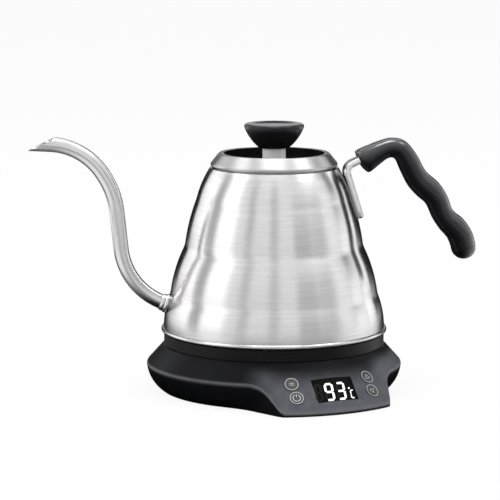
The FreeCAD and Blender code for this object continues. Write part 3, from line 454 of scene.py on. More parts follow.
shell_black = moulded(
    "shell_black", (0.0034, 0.0035, 0.0041), (0.005, 0.0052, 0.006), 0.36, 0.43, 3400.0, 0.16,
    shine=0.06, Specular_Tint=COOL_SHEEN,
)
# Painted light: the panel's lower part gets a paler tone, and near the band, where the kettle shades it, it
# stays dark.
painted_light_tone(shell_black, "field", (0.108, 0.109, 0.126), 0.9)
# A painted highlight: a paler tone along the panel's rounded edge.
painted_light_tone(shell_black, "edge", (0.15, 0.15, 0.16), 0.8)


def soft_most(first, second, width):
    """The larger of two numbers, smoothly where they are close."""
    share = max(width - abs(first - second), 0) / width
    return max(first, second) + share * share * width / 4


def wing_reach(bearing):
    """How far the wing stands out at a bearing from the panel's middle."""
    bearing = abs(bearing)
    if bearing > WING_END:
        return 0.0
    side = WING_SIDE / (sin(bearing) + WING_TAPER * cos(bearing))
    return -soft_most(-WING_FRONT, -side, NOSE_ROUND)


def side_reach(bearing, height):
    """How far the side stands out at a bearing and a height."""
    lift = height - SIDE_MIDDLE[1]
    curve = SIDE_MIDDLE[0] + sqrt(SIDE_CURVE**2 - lift**2)
    return soft_most(curve, wing_reach(bearing), WING_BLEND)


def cone_reach(height, sink=0.0):
    """How far the cone stands out at a height, or a face sunk under it."""
    return DECK_RADIUS + (DECK_HEIGHT - height) / tan(PANEL_SLOPE) - sink / sin(PANEL_SLOPE)


@functools.cache
def edge_height(bearing, wall=0.0):
    """The height at which cone and side meet, outside or a wall further in."""
    low, high = SHELL_FOOT, DECK_HEIGHT
    for _ in range(40):
        middle = (low + high) / 2
        below = cone_reach(middle, wall) > side_reach(bearing, middle) - wall
        low, high = (middle, high) if below else (low, middle)
    return low


def shell_line(bearing):
    """The shell's section at a bearing: seat, cone, rounded edge, side, and back inside."""
    seat = [(BOSS_HOLE, SEAT_FLOOR), (SEAT_MIDDLE, SEAT_FLOOR), (SEAT_RADIUS, SEAT_FLOOR)]
    seat += [(SEAT_RADIUS, DECK_HEIGHT), (DECK_RADIUS, DECK_HEIGHT)]
    slope = (cone_reach(DECK_HEIGHT - 2), DECK_HEIGHT - 2)
    line = rounded(seat + [slope], [0, 0.5, 0.45, 1.2], 4)[:-1]
    edge = edge_height(bearing)
    corner = Vector((cone_reach(edge), edge))
    back = Vector((-cos(PANEL_SLOPE), sin(PANEL_SLOPE)))
    ahead = (Vector((side_reach(bearing, edge - 0.2), edge - 0.2)) - corner).normalized()
    room = 0.8 * (edge - SHELL_FOOT) * tan(acos(back.dot(ahead)) / 2)
    side_foot = SHELL_FOOT + FOOT_BEVEL[1]
    start = line[-1]
    arc = rounded([start, corner, corner + ahead], [min(EDGE_ROUND, room)], 7)[1:-1]
    line += [start.lerp(arc[0], share) for share in between(24)] + arc[1:]
    line += [(side_reach(bearing, height), height) for height in between(14, line[-1][1], side_foot)]
    foot = side_reach(bearing, SHELL_FOOT)
    line += [(foot - FOOT_BEVEL[0], SHELL_FOOT), (foot - SHELL_WALL, SHELL_FOOT)]
    edge = edge_height(bearing, SHELL_WALL)
    ceiling = SEAT_FLOOR - SHELL_WALL
    line += [(side_reach(bearing, height) - SHELL_WALL, height) for height in between(5, SHELL_FOOT, edge)]
    line += [(cone_reach(height, SHELL_WALL), height) for height in between(6, edge, ceiling)]
    return line + [(SEAT_MIDDLE, ceiling), (BOSS_HOLE, ceiling)]


def skin(name, rings, material, closed, marks=()):
    """Faces between rings of points, closed in a loop or with end caps."""
    mesh = bmesh.new()
    edge = mesh.verts.layers.float.new("edge") if marks else None
    loops = [[mesh.verts.new(point) for point in ring] for ring in rings]
    for loop in loops:
        for point, mark in zip(loop, marks):
            point[edge] = mark
    for one, two in zip(loops, loops[1:] + loops[:1] if closed else loops[1:]):
        join_rows(mesh, one, two)
    if not closed:
        mesh.faces.new(loops[0])
        mesh.faces.new(loops[-1])
    return built(name, mesh, material)


shell_rings = []
bearing = -180.0
while bearing < 180.0:
    angle = BASE_TURN - pi / 2 + radians(bearing)
    out = Vector((cos(angle), sin(angle), 0))
    line = shell_line(radians(bearing))
    shell_rings.append([(out * reach + Vector((0, 0, height))) * MM for reach, height in line])
    bearing += FINE_TURN if abs(bearing + FINE_TURN / 2) < FINE_HALF else COARSE_TURN
shell_blank = skin("shell_blank", shell_rings, shell_black, True)

WINDOW_SLANT = 20.0
WINDOW_HALF = (13.4, 8.0)
KEY_HOLE = 4.45
KEY_SPOTS = {"hold": (-25.2, 15.1), "power": (-25.2, 24.6), "up": (25.2, 15.1), "down": (25.2, 24.6)}
CUT_LEVELS = (-6.6, 6.6)
GLAND_HOLE = 4.6
GLAND_HEIGHT = 10.0
GLAND_LEVELS = (66.0, 84.0)
HOLE_SIDES = 48


def panel_place(across, slant):
    """The place of a flat piece on the panel."""
    reach = DECK_RADIUS + slant * cos(PANEL_SLOPE)
    spot = Vector((0, -reach, DECK_HEIGHT - slant * sin(PANEL_SLOPE)))
    turn = Matrix.Rotation(BASE_TURN + asin(across / reach), 4, "Z")
    return turn @ Matrix.Translation(spot * MM) @ Matrix.Rotation(PANEL_SLOPE, 4, "X")


def arc_points(radius, degrees, middle=(0.0, 0.0)):
    """Points at bearings on a circle."""
    left, low = middle[:2]
    return [(left + radius * cos(turn), low + radius * sin(turn)) for turn in map(radians, degrees)]


def round_outline(radius, sides=HOLE_SIDES, middle=(0.0, 0.0)):
    """Points set evenly round a circle."""
    return arc_points(radius, [360 * number / sides for number in range(sides)], middle)


def oblong(left, low, right, high):
    """The corners of an oblong between its sides."""
    return [(left, low), (right, low), (right, high), (left, high)]


def passage(value, start, end):
    """A smooth passage from 0 at a start to 1 at an end."""
    share = max(0.0, min(1.0, (value - start) / (end - start)))
    return share * share * (3 - 2 * share)


cuts = bmesh.new()
for spot in KEY_SPOTS.values():
    add_prism(cuts, round_outline(KEY_HOLE), CUT_LEVELS, in_mm(panel_place(*spot)))
window_outline = oblong(-WINDOW_HALF[0], -WINDOW_HALF[1], *WINDOW_HALF)
add_prism(cuts, window_outline, CUT_LEVELS, in_mm(panel_place(0.0, WINDOW_SLANT)))
gland_spot = Matrix.Rotation(BASE_TURN, 4, "Z") @ Matrix.Translation((0, 0, GLAND_HEIGHT * MM))
gland_way = gland_spot @ Matrix.Rotation(-pi / 2, 4, "X")
add_prism(cuts, round_outline(GLAND_HOLE), GLAND_LEVELS, in_mm(gland_way))
shell = smoothed(cut_from("shell", shell_blank, built("shell_cuts", cuts)), 32.0)

# The shell's finish is marked on its points: painted light that pales the panel's lower part and fades to
# painted shade near the band, and a painted highlight along the panel's edge.
EDGE_HIGHLIGHT_BAND = 1.5
CONE_REACH = 0.6
PAINTED_LIGHT_DOWN = (0.1, 0.6)
PAINTED_LIGHT_LEFT = (radians(-42), radians(-22))
PAINTED_LIGHT_RIGHT = (radians(85), radians(50))
for mark in ("edge", "field"):
    shell.data.attributes.new(mark, "FLOAT", "POINT")
edge_highlight_marks = shell.data.attributes["edge"].data
panel_painted_light_marks = shell.data.attributes["field"].data
for number, point in enumerate(shell.data.vertices):
    reach, height = hypot(point.co.x, point.co.y) / MM, point.co.z / MM
    bearing = atan2(point.co.y, point.co.x) - BASE_TURN + pi / 2
    bearing = round((bearing + pi) % tau - pi, 3)
    edge = edge_height(bearing)
    edge_reach = cone_reach(edge)
    away = hypot(reach - edge_reach, height - edge)
    edge_highlight_marks[number].value = max(0.0, 1.0 - away / EDGE_HIGHLIGHT_BAND)
    if abs(reach - cone_reach(height)) < CONE_REACH:
        down = (reach - DECK_RADIUS) / (edge_reach - DECK_RADIUS)
        across = passage(bearing, *PAINTED_LIGHT_LEFT) * passage(bearing, *PAINTED_LIGHT_RIGHT)
        panel_painted_light_marks[number].value = passage(down, *PAINTED_LIGHT_DOWN) * across
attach(shell, "base")
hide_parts("base_upper_shell")

# Display window: a smoked plastic pane set flush in the panel, with the light module behind it.
# The figures show through it as white bars, and unlit bars stay dark grey.
PANE_SHINE = 0.012
FIGURE_LIFT = 0.04
FIGURE_THICK = 0.06
FIGURE_HEIGHT = 12.1
FIGURE_WIDTH = 5.8
FIGURE_BAR = 1.35
FIGURE_GAP = 0.12
FIGURE_LEAN = 0.13
FIGURE_DROP = 1.6
FIGURE_MIDDLES = (-11.2, -4.3, 3.4)
SEGMENTS = {
    "a": ((0, 1), (1, 1)), "b": ((1, 1), (1, 0.5)), "c": ((1, 0.5), (1, 0)), "d": ((0, 0), (1, 0)),
    "e": ((0, 0.5), (0, 0)), "f": ((0, 1), (0, 0.5)), "g": ((0, 0.5), (1, 0.5)),
}
window_smoked, tree, shader = new_finish("window_smoked")
haze = add(tree, "Group", node_tree=mould_grain, Grains_Per_Metre=700.0).outputs["Patches"]
feed(
    tree, shader, Specular_IOR_Level=PANE_SHINE,
    Base_Color=shades(tree, haze, (0.002, 0.0021, 0.0024), (0.0042, 0.0043, 0.0048)),
    Roughness=spread(tree, haze, 0.07, 0.13),
)
dress(window_smoked, "display_window")
dress(moulded("module_grey", (0.06, 0.06, 0.065), (0.09, 0.09, 0.095), 0.4, 0.5), "display_module")
figure_white, tree, shader = new_finish("figure_white")
glow = noise(tree, 420.0, 1.0)
feed(
    tree, shader, Emission_Strength=0.9,
    Emission_Color=shades(tree, glow, (0.86, 0.88, 0.9), 1.0),
    Base_Color=shades(tree, glow, 0.6, 0.75),
    Roughness=spread(tree, glow, 0.3, 0.4),
)
figure_dark = moulded("figure_dark", (0.012, 0.012, 0.013), (0.017, 0.017, 0.018), 0.3, 0.4, shine=PANE_SHINE)


def window_point(across, up, lift):
    """The point on the window at a way across, a way up and a lift."""
    down = WINDOW_SLANT - up
    lift += FIGURE_LIFT
    radius = DECK_RADIUS + down * cos(PANEL_SLOPE)
    angle = BASE_TURN - pi / 2 + across / radius
    radius += lift * sin(PANEL_SLOPE)
    height = DECK_HEIGHT - down * sin(PANEL_SLOPE) + lift * cos(PANEL_SLOPE)
    return Vector((radius * cos(angle), radius * sin(angle), height)) * MM


def bar_outline(start, end, thick):
    """The six-sided outline of a bar between two points."""
    run = (end - start).normalized()
    half = run * thick / 2
    side = Vector((-half.y, half.x))
    start, end = start + run * thick * FIGURE_GAP, end - run * thick * FIGURE_GAP
    return [start, start + half + side, end - half + side, end, end - half - side, start + half - side]


def figure_bars(letters, middle, height=FIGURE_HEIGHT, width=FIGURE_WIDTH, bar=FIGURE_BAR, drop=FIGURE_DROP):
    """Outlines of the named bars of a leaning seven-bar figure."""
    span, rise = width - bar, height - bar
    outlines = []
    for letter in letters:
        start, end = [Vector((x * span, y * rise)) for x, y in SEGMENTS[letter]]
        points = [(point.x - span / 2, point.y - rise / 2) for point in bar_outline(start, end, bar)]
        outlines.append([(middle + x + y * FIGURE_LEAN, y - drop) for x, y in points])
    return outlines


def inlay(name, outlines, placed, material, body):
    """Thin plates, one for each outline, that ride on a body."""
    mesh = bmesh.new()
    for outline in outlines:
        add_prism(mesh, outline, (0.0, FIGURE_THICK), placed)
    piece = built(name, mesh, material)
    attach(piece, body)
    return piece


third, first, second = FIGURE_MIDDLES
figure_bars_lit = figure_bars("abcdfg", first) + figure_bars("abcdg", second)
figure_bars_lit.append(round_outline(0.55, 12, (9.3, -0.4)))
figure_bars_lit += figure_bars("adef", 10.3, height=5.8, width=2.7, bar=0.7, drop=4.6)
figures = inlay("display_figures", figure_bars_lit, window_point, figure_white, "base")
unlit = figure_bars("abcdefg", third, width=4.5) + figure_bars("e", first) + figure_bars("ef", second)
unlit_figures = inlay("unlit_figures", unlit, window_point, figure_dark, "base")

# Buttons: four round black keys that stand a little proud of the panel and press on small
# switches. Each has a printed ring, and a printed sign for its job.
KEY_TOP = 0.43
RING_MIDDLE = 3.92
RING_LINE = 0.45
SIGN_LINE = 0.7
button_black = moulded("button_black", (0.02, 0.02, 0.022), (0.028, 0.028, 0.03), 0.36, 0.44, 3400.0, 0.12)
dress(button_black, "button_hold", "button_power", "button_up", "button_down")
dress(moulded("switch_black", 0.014, 0.022, 0.4, 0.5), "push_switches")
print_grey = moulded("print_grey", (0.3, 0.3, 0.31), (0.42, 0.42, 0.43), 0.4, 0.5, 1500.0, 0.05)


def ring_outlines(radius, line, first=0.0, last=360.0, pieces=72):
    """Short plates along an arc between two bearings in degrees."""
    bearings = [first] + between(pieces, first, last)
    inner, outer = [arc_points(radius + way * line / 2, bearings) for way in (-1, 1)]
    return [list(corners) for corners in zip(inner, outer, outer[1:], inner[1:])]


def line_outlines(points, line):
    """Mitred plates along the sides of a closed figure."""
    points = [Vector(point) for point in points]
    centre = sum(points, Vector((0, 0))) / len(points)
    outlines = []
    for start, end in zip(points, points[1:] + points[:1]):
        share = line / (start - centre).length
        outlines.append([start, end, end.lerp(centre, share), start.lerp(centre, share)])
    return outlines


key_signs = {
    "hold": [oblong(-1.5, 0.4, 1.5, 0.8), oblong(-1.5, -0.8, 1.5, -0.4)],
    "power": ring_outlines(2.2, 0.5, 120.0, 420.0, 40) + [oblong(-0.25, 0.6, 0.25, 2.7)],
    "up": line_outlines([(0, 1.9), (-2.0, -1.2), (2.0, -1.2)], SIGN_LINE),
    "down": line_outlines([(0, -1.9), (2.0, 1.2), (-2.0, 1.2)], SIGN_LINE),
}
for key, spot in KEY_SPOTS.items():
    key_top = in_mm(panel_place(*spot) @ Matrix.Translation((0, 0, KEY_TOP * MM)))
    ring = ring_outlines(RING_MIDDLE, RING_LINE)
    mark = inlay(key + "_mark", ring + key_signs[key], key_top, print_grey, key + "_key")

# Bottom housing of the kettle: a black heat-proof moulding below the steel vessel. Its band
# shows between vessel and base, and three screws hold it to the heater.
band_black = moulded(
    "band_black", (0.002, 0.002, 0.0024), (0.0032, 0.0032, 0.0037), 0.3, 0.38, 3000.0, 0.14,
    shine=0.18,
)
dress(band_black, "bottom_housing")
dress(screw_zinc, "housing_screws")
dress(moulded("gasket_grey", (0.2, 0.19, 0.18), (0.28, 0.27, 0.26), 0.55, 0.7, 3000.0, 0.3), "housing_gasket")

# Heater: a sheathed element brazed to an aluminium spreader under the steel floor plate, with a
# boil-dry cutout beside it. The element's two terminals are plated steel.
dress(plated("spreader_aluminium", (0.6, 0.61, 0.62), (0.74, 0.75, 0.76), 0.35, 0.5), "heat_spreader")
dress(plated("sheath_steel", (0.16, 0.15, 0.14), (0.3, 0.28, 0.25), 0.4, 0.55), "heating_element")
dress(screw_zinc, "element_terminals")
dress(moulded("cutout_cream", (0.5, 0.46, 0.38), (0.6, 0.56, 0.47), 0.4, 0.52), "boil_dry_cutout")

# Vessel: one stainless steel shell, drawn and rolled into four swelling tiers and brushed
# on the lathe, so that its fine lines run round it. The floor plate is welded in.
VESSEL_RADIUS = 68.0
VESSEL_FOOT = 36.0
VESSEL_WALL = 0.8
TIER_EDGES = [(VESSEL_RADIUS, 39.0), (63.8, 59.5), (54.8, 89.0), (47.7, 117.6), (39.3, 137.3)]
TIER_CURVES = [55.0, 88.0, 120.0, 67.0]
TIER_STEPS = 34
CREASE_REACH = 2.6
CREASE_PASSES = 6
NECK_EDGE = Vector(TIER_EDGES[-1])
NECK_LEVEL = TIER_EDGES[-1][1]
VESSEL_ROUND = 240
BRUSH_DEPTH = 0.00003
RADIUS_SHARE = 0.73
BEARING_SCALE = 2.0
MOUTH_RADIUS = 34.6
ROOT_SPOT = Vector((-60.2, 51.8))
ROOT_SLOPE = radians(18.82)
ENTRY_RADIUS = 3.9
ENTRY_LEVELS = (-14.0, 16.0)

# Noise drawn out round the axis: fine lines by height and radius, slow change by bearing.
turned_brush, brush_lines, brush_end = shader_group("turned_brush", "Lines Per Metre", "Streaks", "Clouds")
tree = turned_brush
split = add(tree, "SeparateXYZ", Vector=object_place(tree)).outputs
level = add(tree, "CombineXYZ", X=split["X"], Y=split["Y"])
length = add(tree, "VectorMath", operation="LENGTH", Vector=level).outputs["Value"]
facing = add(tree, "VectorMath", operation="NORMALIZE", Vector=level)
parts = add(tree, "SeparateXYZ", Vector=facing).outputs
along = reckon(tree, "MULTIPLY_ADD", length, RADIUS_SHARE, split["Z"])
drawn = add(
    tree, "CombineXYZ",
    X=reckon(tree, "MULTIPLY", parts["X"], BEARING_SCALE),
    Y=reckon(tree, "MULTIPLY", parts["Y"], BEARING_SCALE),
    Z=reckon(tree, "MULTIPLY", along, brush_lines),
)
feed(tree, brush_end, Streaks=noise(tree, 1.0, 4.0, 0.65, drawn), Clouds=noise(tree, 26.0, 3.0))


def brushed(name, dark, light, gloss, matt, lines, relief, pull, metallic=1.0):
    """Lathe-brushed steel with fine lines round the axis."""
    material, tree, shader = new_finish(name)
    texture = add(tree, "Group", node_tree=turned_brush, Lines_Per_Metre=lines).outputs
    streaks = spread(tree, texture["Streaks"], 0.0, 1.0, 0.25, 0.75)
    tangent = add(tree, "Tangent", direction_type="RADIAL", axis="Z")
    feed(
        tree, shader,
        Metallic=metallic, Anisotropic=pull, Anisotropic_Rotation=0.25, Specular_Tint=(0.35, 0.35, 0.36),
        Tangent=tangent,
        Base_Color=shades(tree, streaks, dark, light),
        Roughness=spread(tree, texture["Clouds"], gloss, matt),
        Normal=raised(tree, texture["Streaks"], relief, BRUSH_DEPTH),
    )
    return material


def swelling(start, end, curve, steps):
    """Points of an arc that swells outwards, without its start."""
    start, end = Vector(start), Vector(end)
    chord = end - start
    inward = Vector((-chord.y, chord.x)).normalized()
    middle = (start + end) / 2 + inward * sqrt(curve**2 - chord.length_squared / 4)
    return swept(middle, start, end, steps)


def eased(points, spots, reach, passes):
    """A profile smoothed near some of its points."""
    points = [Vector(point) for point in points]
    near = [min((point - Vector(spot)).length for spot in spots) < reach for point in points]
    for _ in range(passes):
        before = [point.copy() for point in points]
        for number in range(1, len(points) - 1):
            if near[number]:
                points[number] = (before[number - 1] + before[number] * 2 + before[number + 1]) / 4
    return points


vessel_steel = brushed(
    "vessel_steel", (0.635, 0.627, 0.631), (0.75, 0.74, 0.745), 0.21, 0.25, 1000.0, 0.14, 0.85
)
vessel_side = [(VESSEL_RADIUS, 36.2), (VESSEL_RADIUS, 37.6), TIER_EDGES[0]]
for start, end, curve in zip(TIER_EDGES, TIER_EDGES[1:], TIER_CURVES):
    vessel_side += swelling(start, end, curve, TIER_STEPS)
vessel_side = eased(vessel_side, TIER_EDGES[1:4], CREASE_REACH, CREASE_PASSES)
vessel_inside = [(radius - VESSEL_WALL, height) for radius, height in vessel_side[::-3]]
vessel_start = (VESSEL_RADIUS - VESSEL_WALL, VESSEL_FOOT)
vessel_profile = [vessel_start, (67.8, VESSEL_FOOT)] + vessel_side
vessel_profile += [(38.9, NECK_LEVEL), (MOUTH_RADIUS + 0.3, NECK_LEVEL), (MOUTH_RADIUS, NECK_LEVEL - 0.2)]
neck_inside = NECK_LEVEL - VESSEL_WALL
vessel_profile += [(MOUTH_RADIUS, neck_inside), (38.4, neck_inside)] + vessel_inside[1:] + [vessel_start]
vessel_blank = turned("vessel_blank", vessel_profile, VESSEL_ROUND, vessel_steel, 40.0)
entry_spot = Matrix.Translation(Vector((ROOT_SPOT.x, 0, ROOT_SPOT.y)) * MM)
entry_way = entry_spot @ Matrix.Rotation(ROOT_SLOPE - pi / 2, 4, "Y")
entry = bmesh.new()
add_prism(entry, round_outline(ENTRY_RADIUS), ENTRY_LEVELS, in_mm(entry_way))
vessel = smoothed(cut_from("vessel", vessel_blank, built("spout_entry", entry)), 40.0)
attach(vessel, "kettle")
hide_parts("vessel_body")
dress(vessel_steel, "heater_plate")

# Seam ring: the rolled bead where the vessel's edge is folded over its floor. It is the same
# steel, polished by the rolling.
seam_steel = brushed("seam_steel", (0.6, 0.6, 0.605), (0.67, 0.67, 0.675), 0.2, 0.26, 1500.0, 0.06, 0.3)
dress(seam_steel, "seam_ring")

# Temperature probe: a closed steel tube that stands up through the floor into the water and
# reads its temperature. It is buffed, and fixed in the floor plate.
POLISH_DEPTH = 0.00002


def polished(name, dark, light, gloss, matt):
    """Buffed steel with faint cloudy polishing marks."""
    material = plated(name, dark, light, gloss, matt, 120.0, 4.0)
    tree = material.node_tree
    marks = raised(tree, noise(tree, 2400.0, 2.0, 0.6), 0.02, POLISH_DEPTH)
    feed(tree, tree.nodes["Principled BSDF"], Specular_Tint=(0.3, 0.3, 0.31), Normal=marks)
    return material


tube_steel = polished("tube_steel", (0.66, 0.653, 0.656), (0.72, 0.712, 0.715), 0.2, 0.25)
dress(tube_steel, "temperature_probe")

# Spout: a thin steel tube bent into a swan's neck, its tip cut on a slant. It is welded into
# the lowest tier, and the weld stands round its root as a polished bead of two waves.
ROOT_RUN = 6.99
ROOT_BEND = 40.5
WELD_STEPS = [
    (3.4, 5.5), (5.6, 5.7), (6.3, 5.85), (6.9, 5.9), (7.4, 5.75), (7.8, 5.4), (8.1, 5.2), (8.4, 5.22),
    (8.8, 5.35), (9.2, 5.35), (9.6, 5.2), (10.0, 4.92), (10.4, 4.7), (10.8, 4.62), (10.8, 4.3), (3.4, 4.3),
]
dress(tube_steel, "spout_tube")


def section(middle, across, half_depth, half_width, squareness, count=40):
    """A rounded section, its depth along a direction of the side view."""
    ring = []
    for number in range(count):
        angle = tau * number / count
        deep, wide = cos(angle), sin(angle)
        deep = copysign(abs(deep) ** (2 / squareness), deep) * half_depth
        wide = copysign(abs(wide) ** (2 / squareness), wide) * half_width
        spot = middle + across * deep
        ring.append(Vector((spot.x, wide, spot.y)) * MM)
    return ring


root_up = Vector((sin(ROOT_SLOPE), cos(ROOT_SLOPE)))
root_out = Vector((-root_up.y, root_up.x))
weld_rings = []
for run, radius in WELD_STEPS:
    slope = ROOT_SLOPE + max(run - ROOT_RUN, 0) / ROOT_BEND
    across = Vector((sin(slope), cos(slope)))
    spot = ROOT_SPOT + root_out * min(run, ROOT_RUN) + (root_up - across) * ROOT_BEND
    weld_rings.append(section(spot, across, radius, radius, 2.0, 56))
weld = smoothed(skin("spout_weld", weld_rings, tube_steel, True), 50.0)
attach(weld, "kettle")
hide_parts("spout_collar")

# Handle bracket: a bent steel strip with rounded edges, polished and welded to the upper tiers.
# Its other end goes into the grip, where a screw holds it.
STRIP_HALF_WIDTH = 6.0
STRIP_HALF_THICK = 2.3
STRIP_BEND = 5.7
STRIP_SQUARENESS = 3.2
STRIP_ROUTE = [Vector((53.4, 105.3)), Vector((43.5, 137.0)), Vector((65.0, 147.0))]
STRIP_TIP = {0: 0.55, 1: 0.8, 2: 0.94}
strip_steel = polished("strip_steel", (0.76, 0.754, 0.757), (0.84, 0.832, 0.835), 0.2, 0.27)
strip_route = rounded(STRIP_ROUTE, [STRIP_BEND], 14)
strip_foot = strip_route[0]
strip_run = (strip_route[1] - strip_foot).normalized()
strip_line = [strip_foot + strip_run * step for step in (0.0, 0.35, 0.9, 1.6)]
strip_line += [strip_foot.lerp(strip_route[1], share) for share in (0.2, 0.4, 0.6, 0.8)]
strip_line += strip_route[1:-1]
strip_line += [strip_route[-2].lerp(strip_route[-1], share) for share in (0.3, 0.6, 1.0)]
strip_rings = []
for number, spot in enumerate(strip_line):
    before = strip_line[max(number - 1, 0)]
    after = strip_line[min(number + 1, len(strip_line) - 1)]
    run = (after - before).normalized()
    tip = STRIP_TIP.get(number, 1.0)
    half_depth, half_width = STRIP_HALF_THICK * tip, STRIP_HALF_WIDTH * tip
    strip_rings.append(section(spot, Vector((-run.y, run.x)), half_depth, half_width, STRIP_SQUARENESS))
bracket = smoothed(skin("bracket", strip_rings, strip_steel, False), 50.0)
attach(bracket, "kettle")
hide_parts("handle_bracket")
dress(screw_zinc, "grip_screw")

# Grip: a waved black moulding with a rest for each finger and a round end. It slides over the
# bracket's end, and one screw holds it. Hands leave its outer side glossy; the paler bluish tone there is a
# painted sheen.
GRIP_HALF_WIDTH = 9.0
GRIP_DEEPEST = 8.4
GRIP_SQUARENESS = 2.35
GRIP_AROUND = 56
GRIP_STEPS = 96
GRIP_MOUTH = {0: 0.9, 1: 0.97}
GRIP_END = 7.6
GRIP_STATIONS = [
    (12.9, 4.2, 5.8, 113), (18.8, 4.6, 8.4, 93), (24.9, 8.0, 7.4, 92), (31.9, 11.1, 6.3, 84),
    (38.5, 9.7, 6.5, 62), (44.0, 1.5, 7.0, 42), (49.0, -7.7, 7.1, 38), (55.9, -14.7, 7.9, 30),
    (61.6, -21.7, 7.1, 18), (65.3, -30.1, 6.8, 20), (70.9, -36.5, 8.0, 22), (76.3, -43.7, 7.9, 12),
    (78.7, -51.0, 7.6, 4),
]
grip_black = moulded(
    "grip_black", (0.004, 0.004, 0.0046), (0.0056, 0.0056, 0.0064), 0.15, 0.2, 2400.0, 0.05,
    shine=0.12, Specular_Tint=COOL_SHEEN, Coat_Roughness=0.2, Coat_IOR=1.8,
)
tree = grip_black.node_tree
feed(tree, tree.nodes["Principled BSDF"], Coat_Weight=marked(tree, "edge", 45.0, 0.95 * 0.85, 0.95))
# A painted sheen: a paler bluish tone on the outer side.
painted_light_tone(grip_black, "edge", (0.016, 0.017, 0.028), 0.9)


def curve_through(rows, share):
    """The smooth curve through rows of numbers at a share of its run."""
    place = share * (len(rows) - 1)
    start = min(int(place), len(rows) - 2)
    rest = place - start
    four = [rows[max(start - 1, 0)], rows[start], rows[start + 1], rows[min(start + 2, len(rows) - 1)]]
    found = []
    for a, b, c, d in zip(*four):
        bend = 2 * a - 5 * b + 4 * c - d
        twist = 3 * (b - c) + d - a
        found.append((2 * b + (c - a) * rest + bend * rest**2 + twist * rest**3) / 2)
    return found


def grip_section(reach, rise, half_depth, bearing, run, size):
    """The grip's section a run past a station, drawn in to a size."""
    across = Vector((cos(radians(bearing)), sin(radians(bearing))))
    half_width = GRIP_HALF_WIDTH * sqrt(half_depth / GRIP_DEEPEST)
    spot = NECK_EDGE + Vector((reach, rise)) + Vector((across.y, -across.x)) * run
    return section(spot, across, half_depth * size, half_width * size, GRIP_SQUARENESS, GRIP_AROUND)


grip_rings = []
for number in range(GRIP_STEPS + 1):
    station = curve_through(GRIP_STATIONS, number / GRIP_STEPS)
    grip_rings.append(grip_section(*station, 0.0, GRIP_MOUTH.get(number, 1.0)))
for angle in between(12, 0.0, radians(86)):
    grip_rings.append(grip_section(*GRIP_STATIONS[-1], GRIP_END * sin(angle), cos(angle)))
grip_gloss_and_sheen_marks = [passage(cos(tau * number / GRIP_AROUND), -0.25, 0.65) for number in range(GRIP_AROUND)]
grip = smoothed(skin("grip", grip_rings, grip_black, False, grip_gloss_and_sheen_marks), 50.0)
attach(grip, "kettle")
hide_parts("handle_grip")

# Lid rim: a steel ring, spun and brushed like the vessel, with a sloping top and a rolled lower
# edge. Its skirt fits in the mouth.
LID_ROUND = 200
SKIRT_OUTSIDE = 34.2
SKIRT_INSIDE = 33.2
SKIRT_FOOT = 129.0
LIP_MIDDLE = (37.4, 139.35)
LIP_CURVE = 1.5
SLOPE_TOP = Vector((34.05, 145.87))
# The ring's steel is toned darker than the vessel's: painted shade for the light it catches.
lid_steel = brushed("lid_steel", (0.46, 0.454, 0.457), (0.56, 0.553, 0.556), 0.33, 0.4, 700.0, 0.1, 0.75)
lid_profile = [(SKIRT_OUTSIDE, SKIRT_FOOT), (SKIRT_OUTSIDE, 137.35), (36.9, 137.35), (36.9, 137.85)]
lid_profile += arc_points(LIP_CURVE, range(-90, 40, 8), LIP_MIDDLE)
lip_end = Vector(lid_profile[-1])
lid_profile += [lip_end.lerp(SLOPE_TOP, share) for share in between(8)]
lid_profile += [(33.85, 146.08), (33.6, 146.24), (33.3, 146.3), (32.8, 146.3), (32.6, 146.2), (32.5, 146.0)]
lid_profile += [(32.5, 145.1), (37.0, 138.6), (SKIRT_INSIDE, 138.6), (SKIRT_INSIDE, SKIRT_FOOT)]
lid_profile.append(lid_profile[0])
lid_ring = turned("lid_ring", lid_profile, LID_ROUND, lid_steel, 40.0)
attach(lid_ring, "lid")
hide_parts("lid_rim")

# Lid dish: a black heat-proof moulding sunk in the rim, with three steam slots. It is pressed
# into the steel ring from below and carries the knob's post.
dish_black = moulded("dish_black", (0.005, 0.005, 0.0055), (0.0075, 0.0075, 0.008), 0.22, 0.3, shine=0.12)
dress(dish_black, "lid_dish")

# Knob post: a short turned steel column between dish and knob, held by the knob's screw. It is
# left dull by the lathe.
post_steel = brushed(
    "post_steel", (0.93, 0.925, 0.927), (0.99, 0.983, 0.986), 0.56, 0.62, 900.0, 0.08, 0.3, metallic=0.35
)
dress(post_steel, "knob_post")

# Knob: a black moulded cup with a rolled rim and a shallow dished top, held from below by a
# steel screw.
KNOB_ROUND = 128
KNOB_UNDERSIDE = 149.42
KNOB_TOP = 164.2
KNOB_DISH = 1.0
KNOB_FOOT = (9.9, 149.9)
RIM_CURVE = 1.6
RIM_MIDDLE = (16.7, KNOB_TOP - RIM_CURVE)
knob_black = moulded(
    "knob_black", (0.0055, 0.0055, 0.0062), (0.0078, 0.0078, 0.0088), 0.25, 0.32, 2800.0, 0.08,
    shine=0.38, Specular_Tint=COOL_SHEEN,
)
knob_profile = [(0.0, KNOB_UNDERSIDE), (9.3, KNOB_UNDERSIDE), (9.65, 149.6), KNOB_FOOT]
knob_profile += swelling(KNOB_FOOT, (18.15, 161.6), 30.0, 18)
knob_profile += arc_points(RIM_CURVE, range(-18, 91, 9), RIM_MIDDLE)
for radius in (15.9, 15.2, 14.5, 13.8, 13.0, 12.0, 10.5, 8.0, 5.0, 2.0, 0.0):
    knob_profile.append((radius, KNOB_TOP - KNOB_DISH * (1 - passage(radius, 9.0, 16.2))))
knob = turned("lid_knob", knob_profile, KNOB_ROUND, knob_black, 40.0)
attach(knob, "lid")
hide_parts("knob")
dress(screw_zinc, "knob_screw")

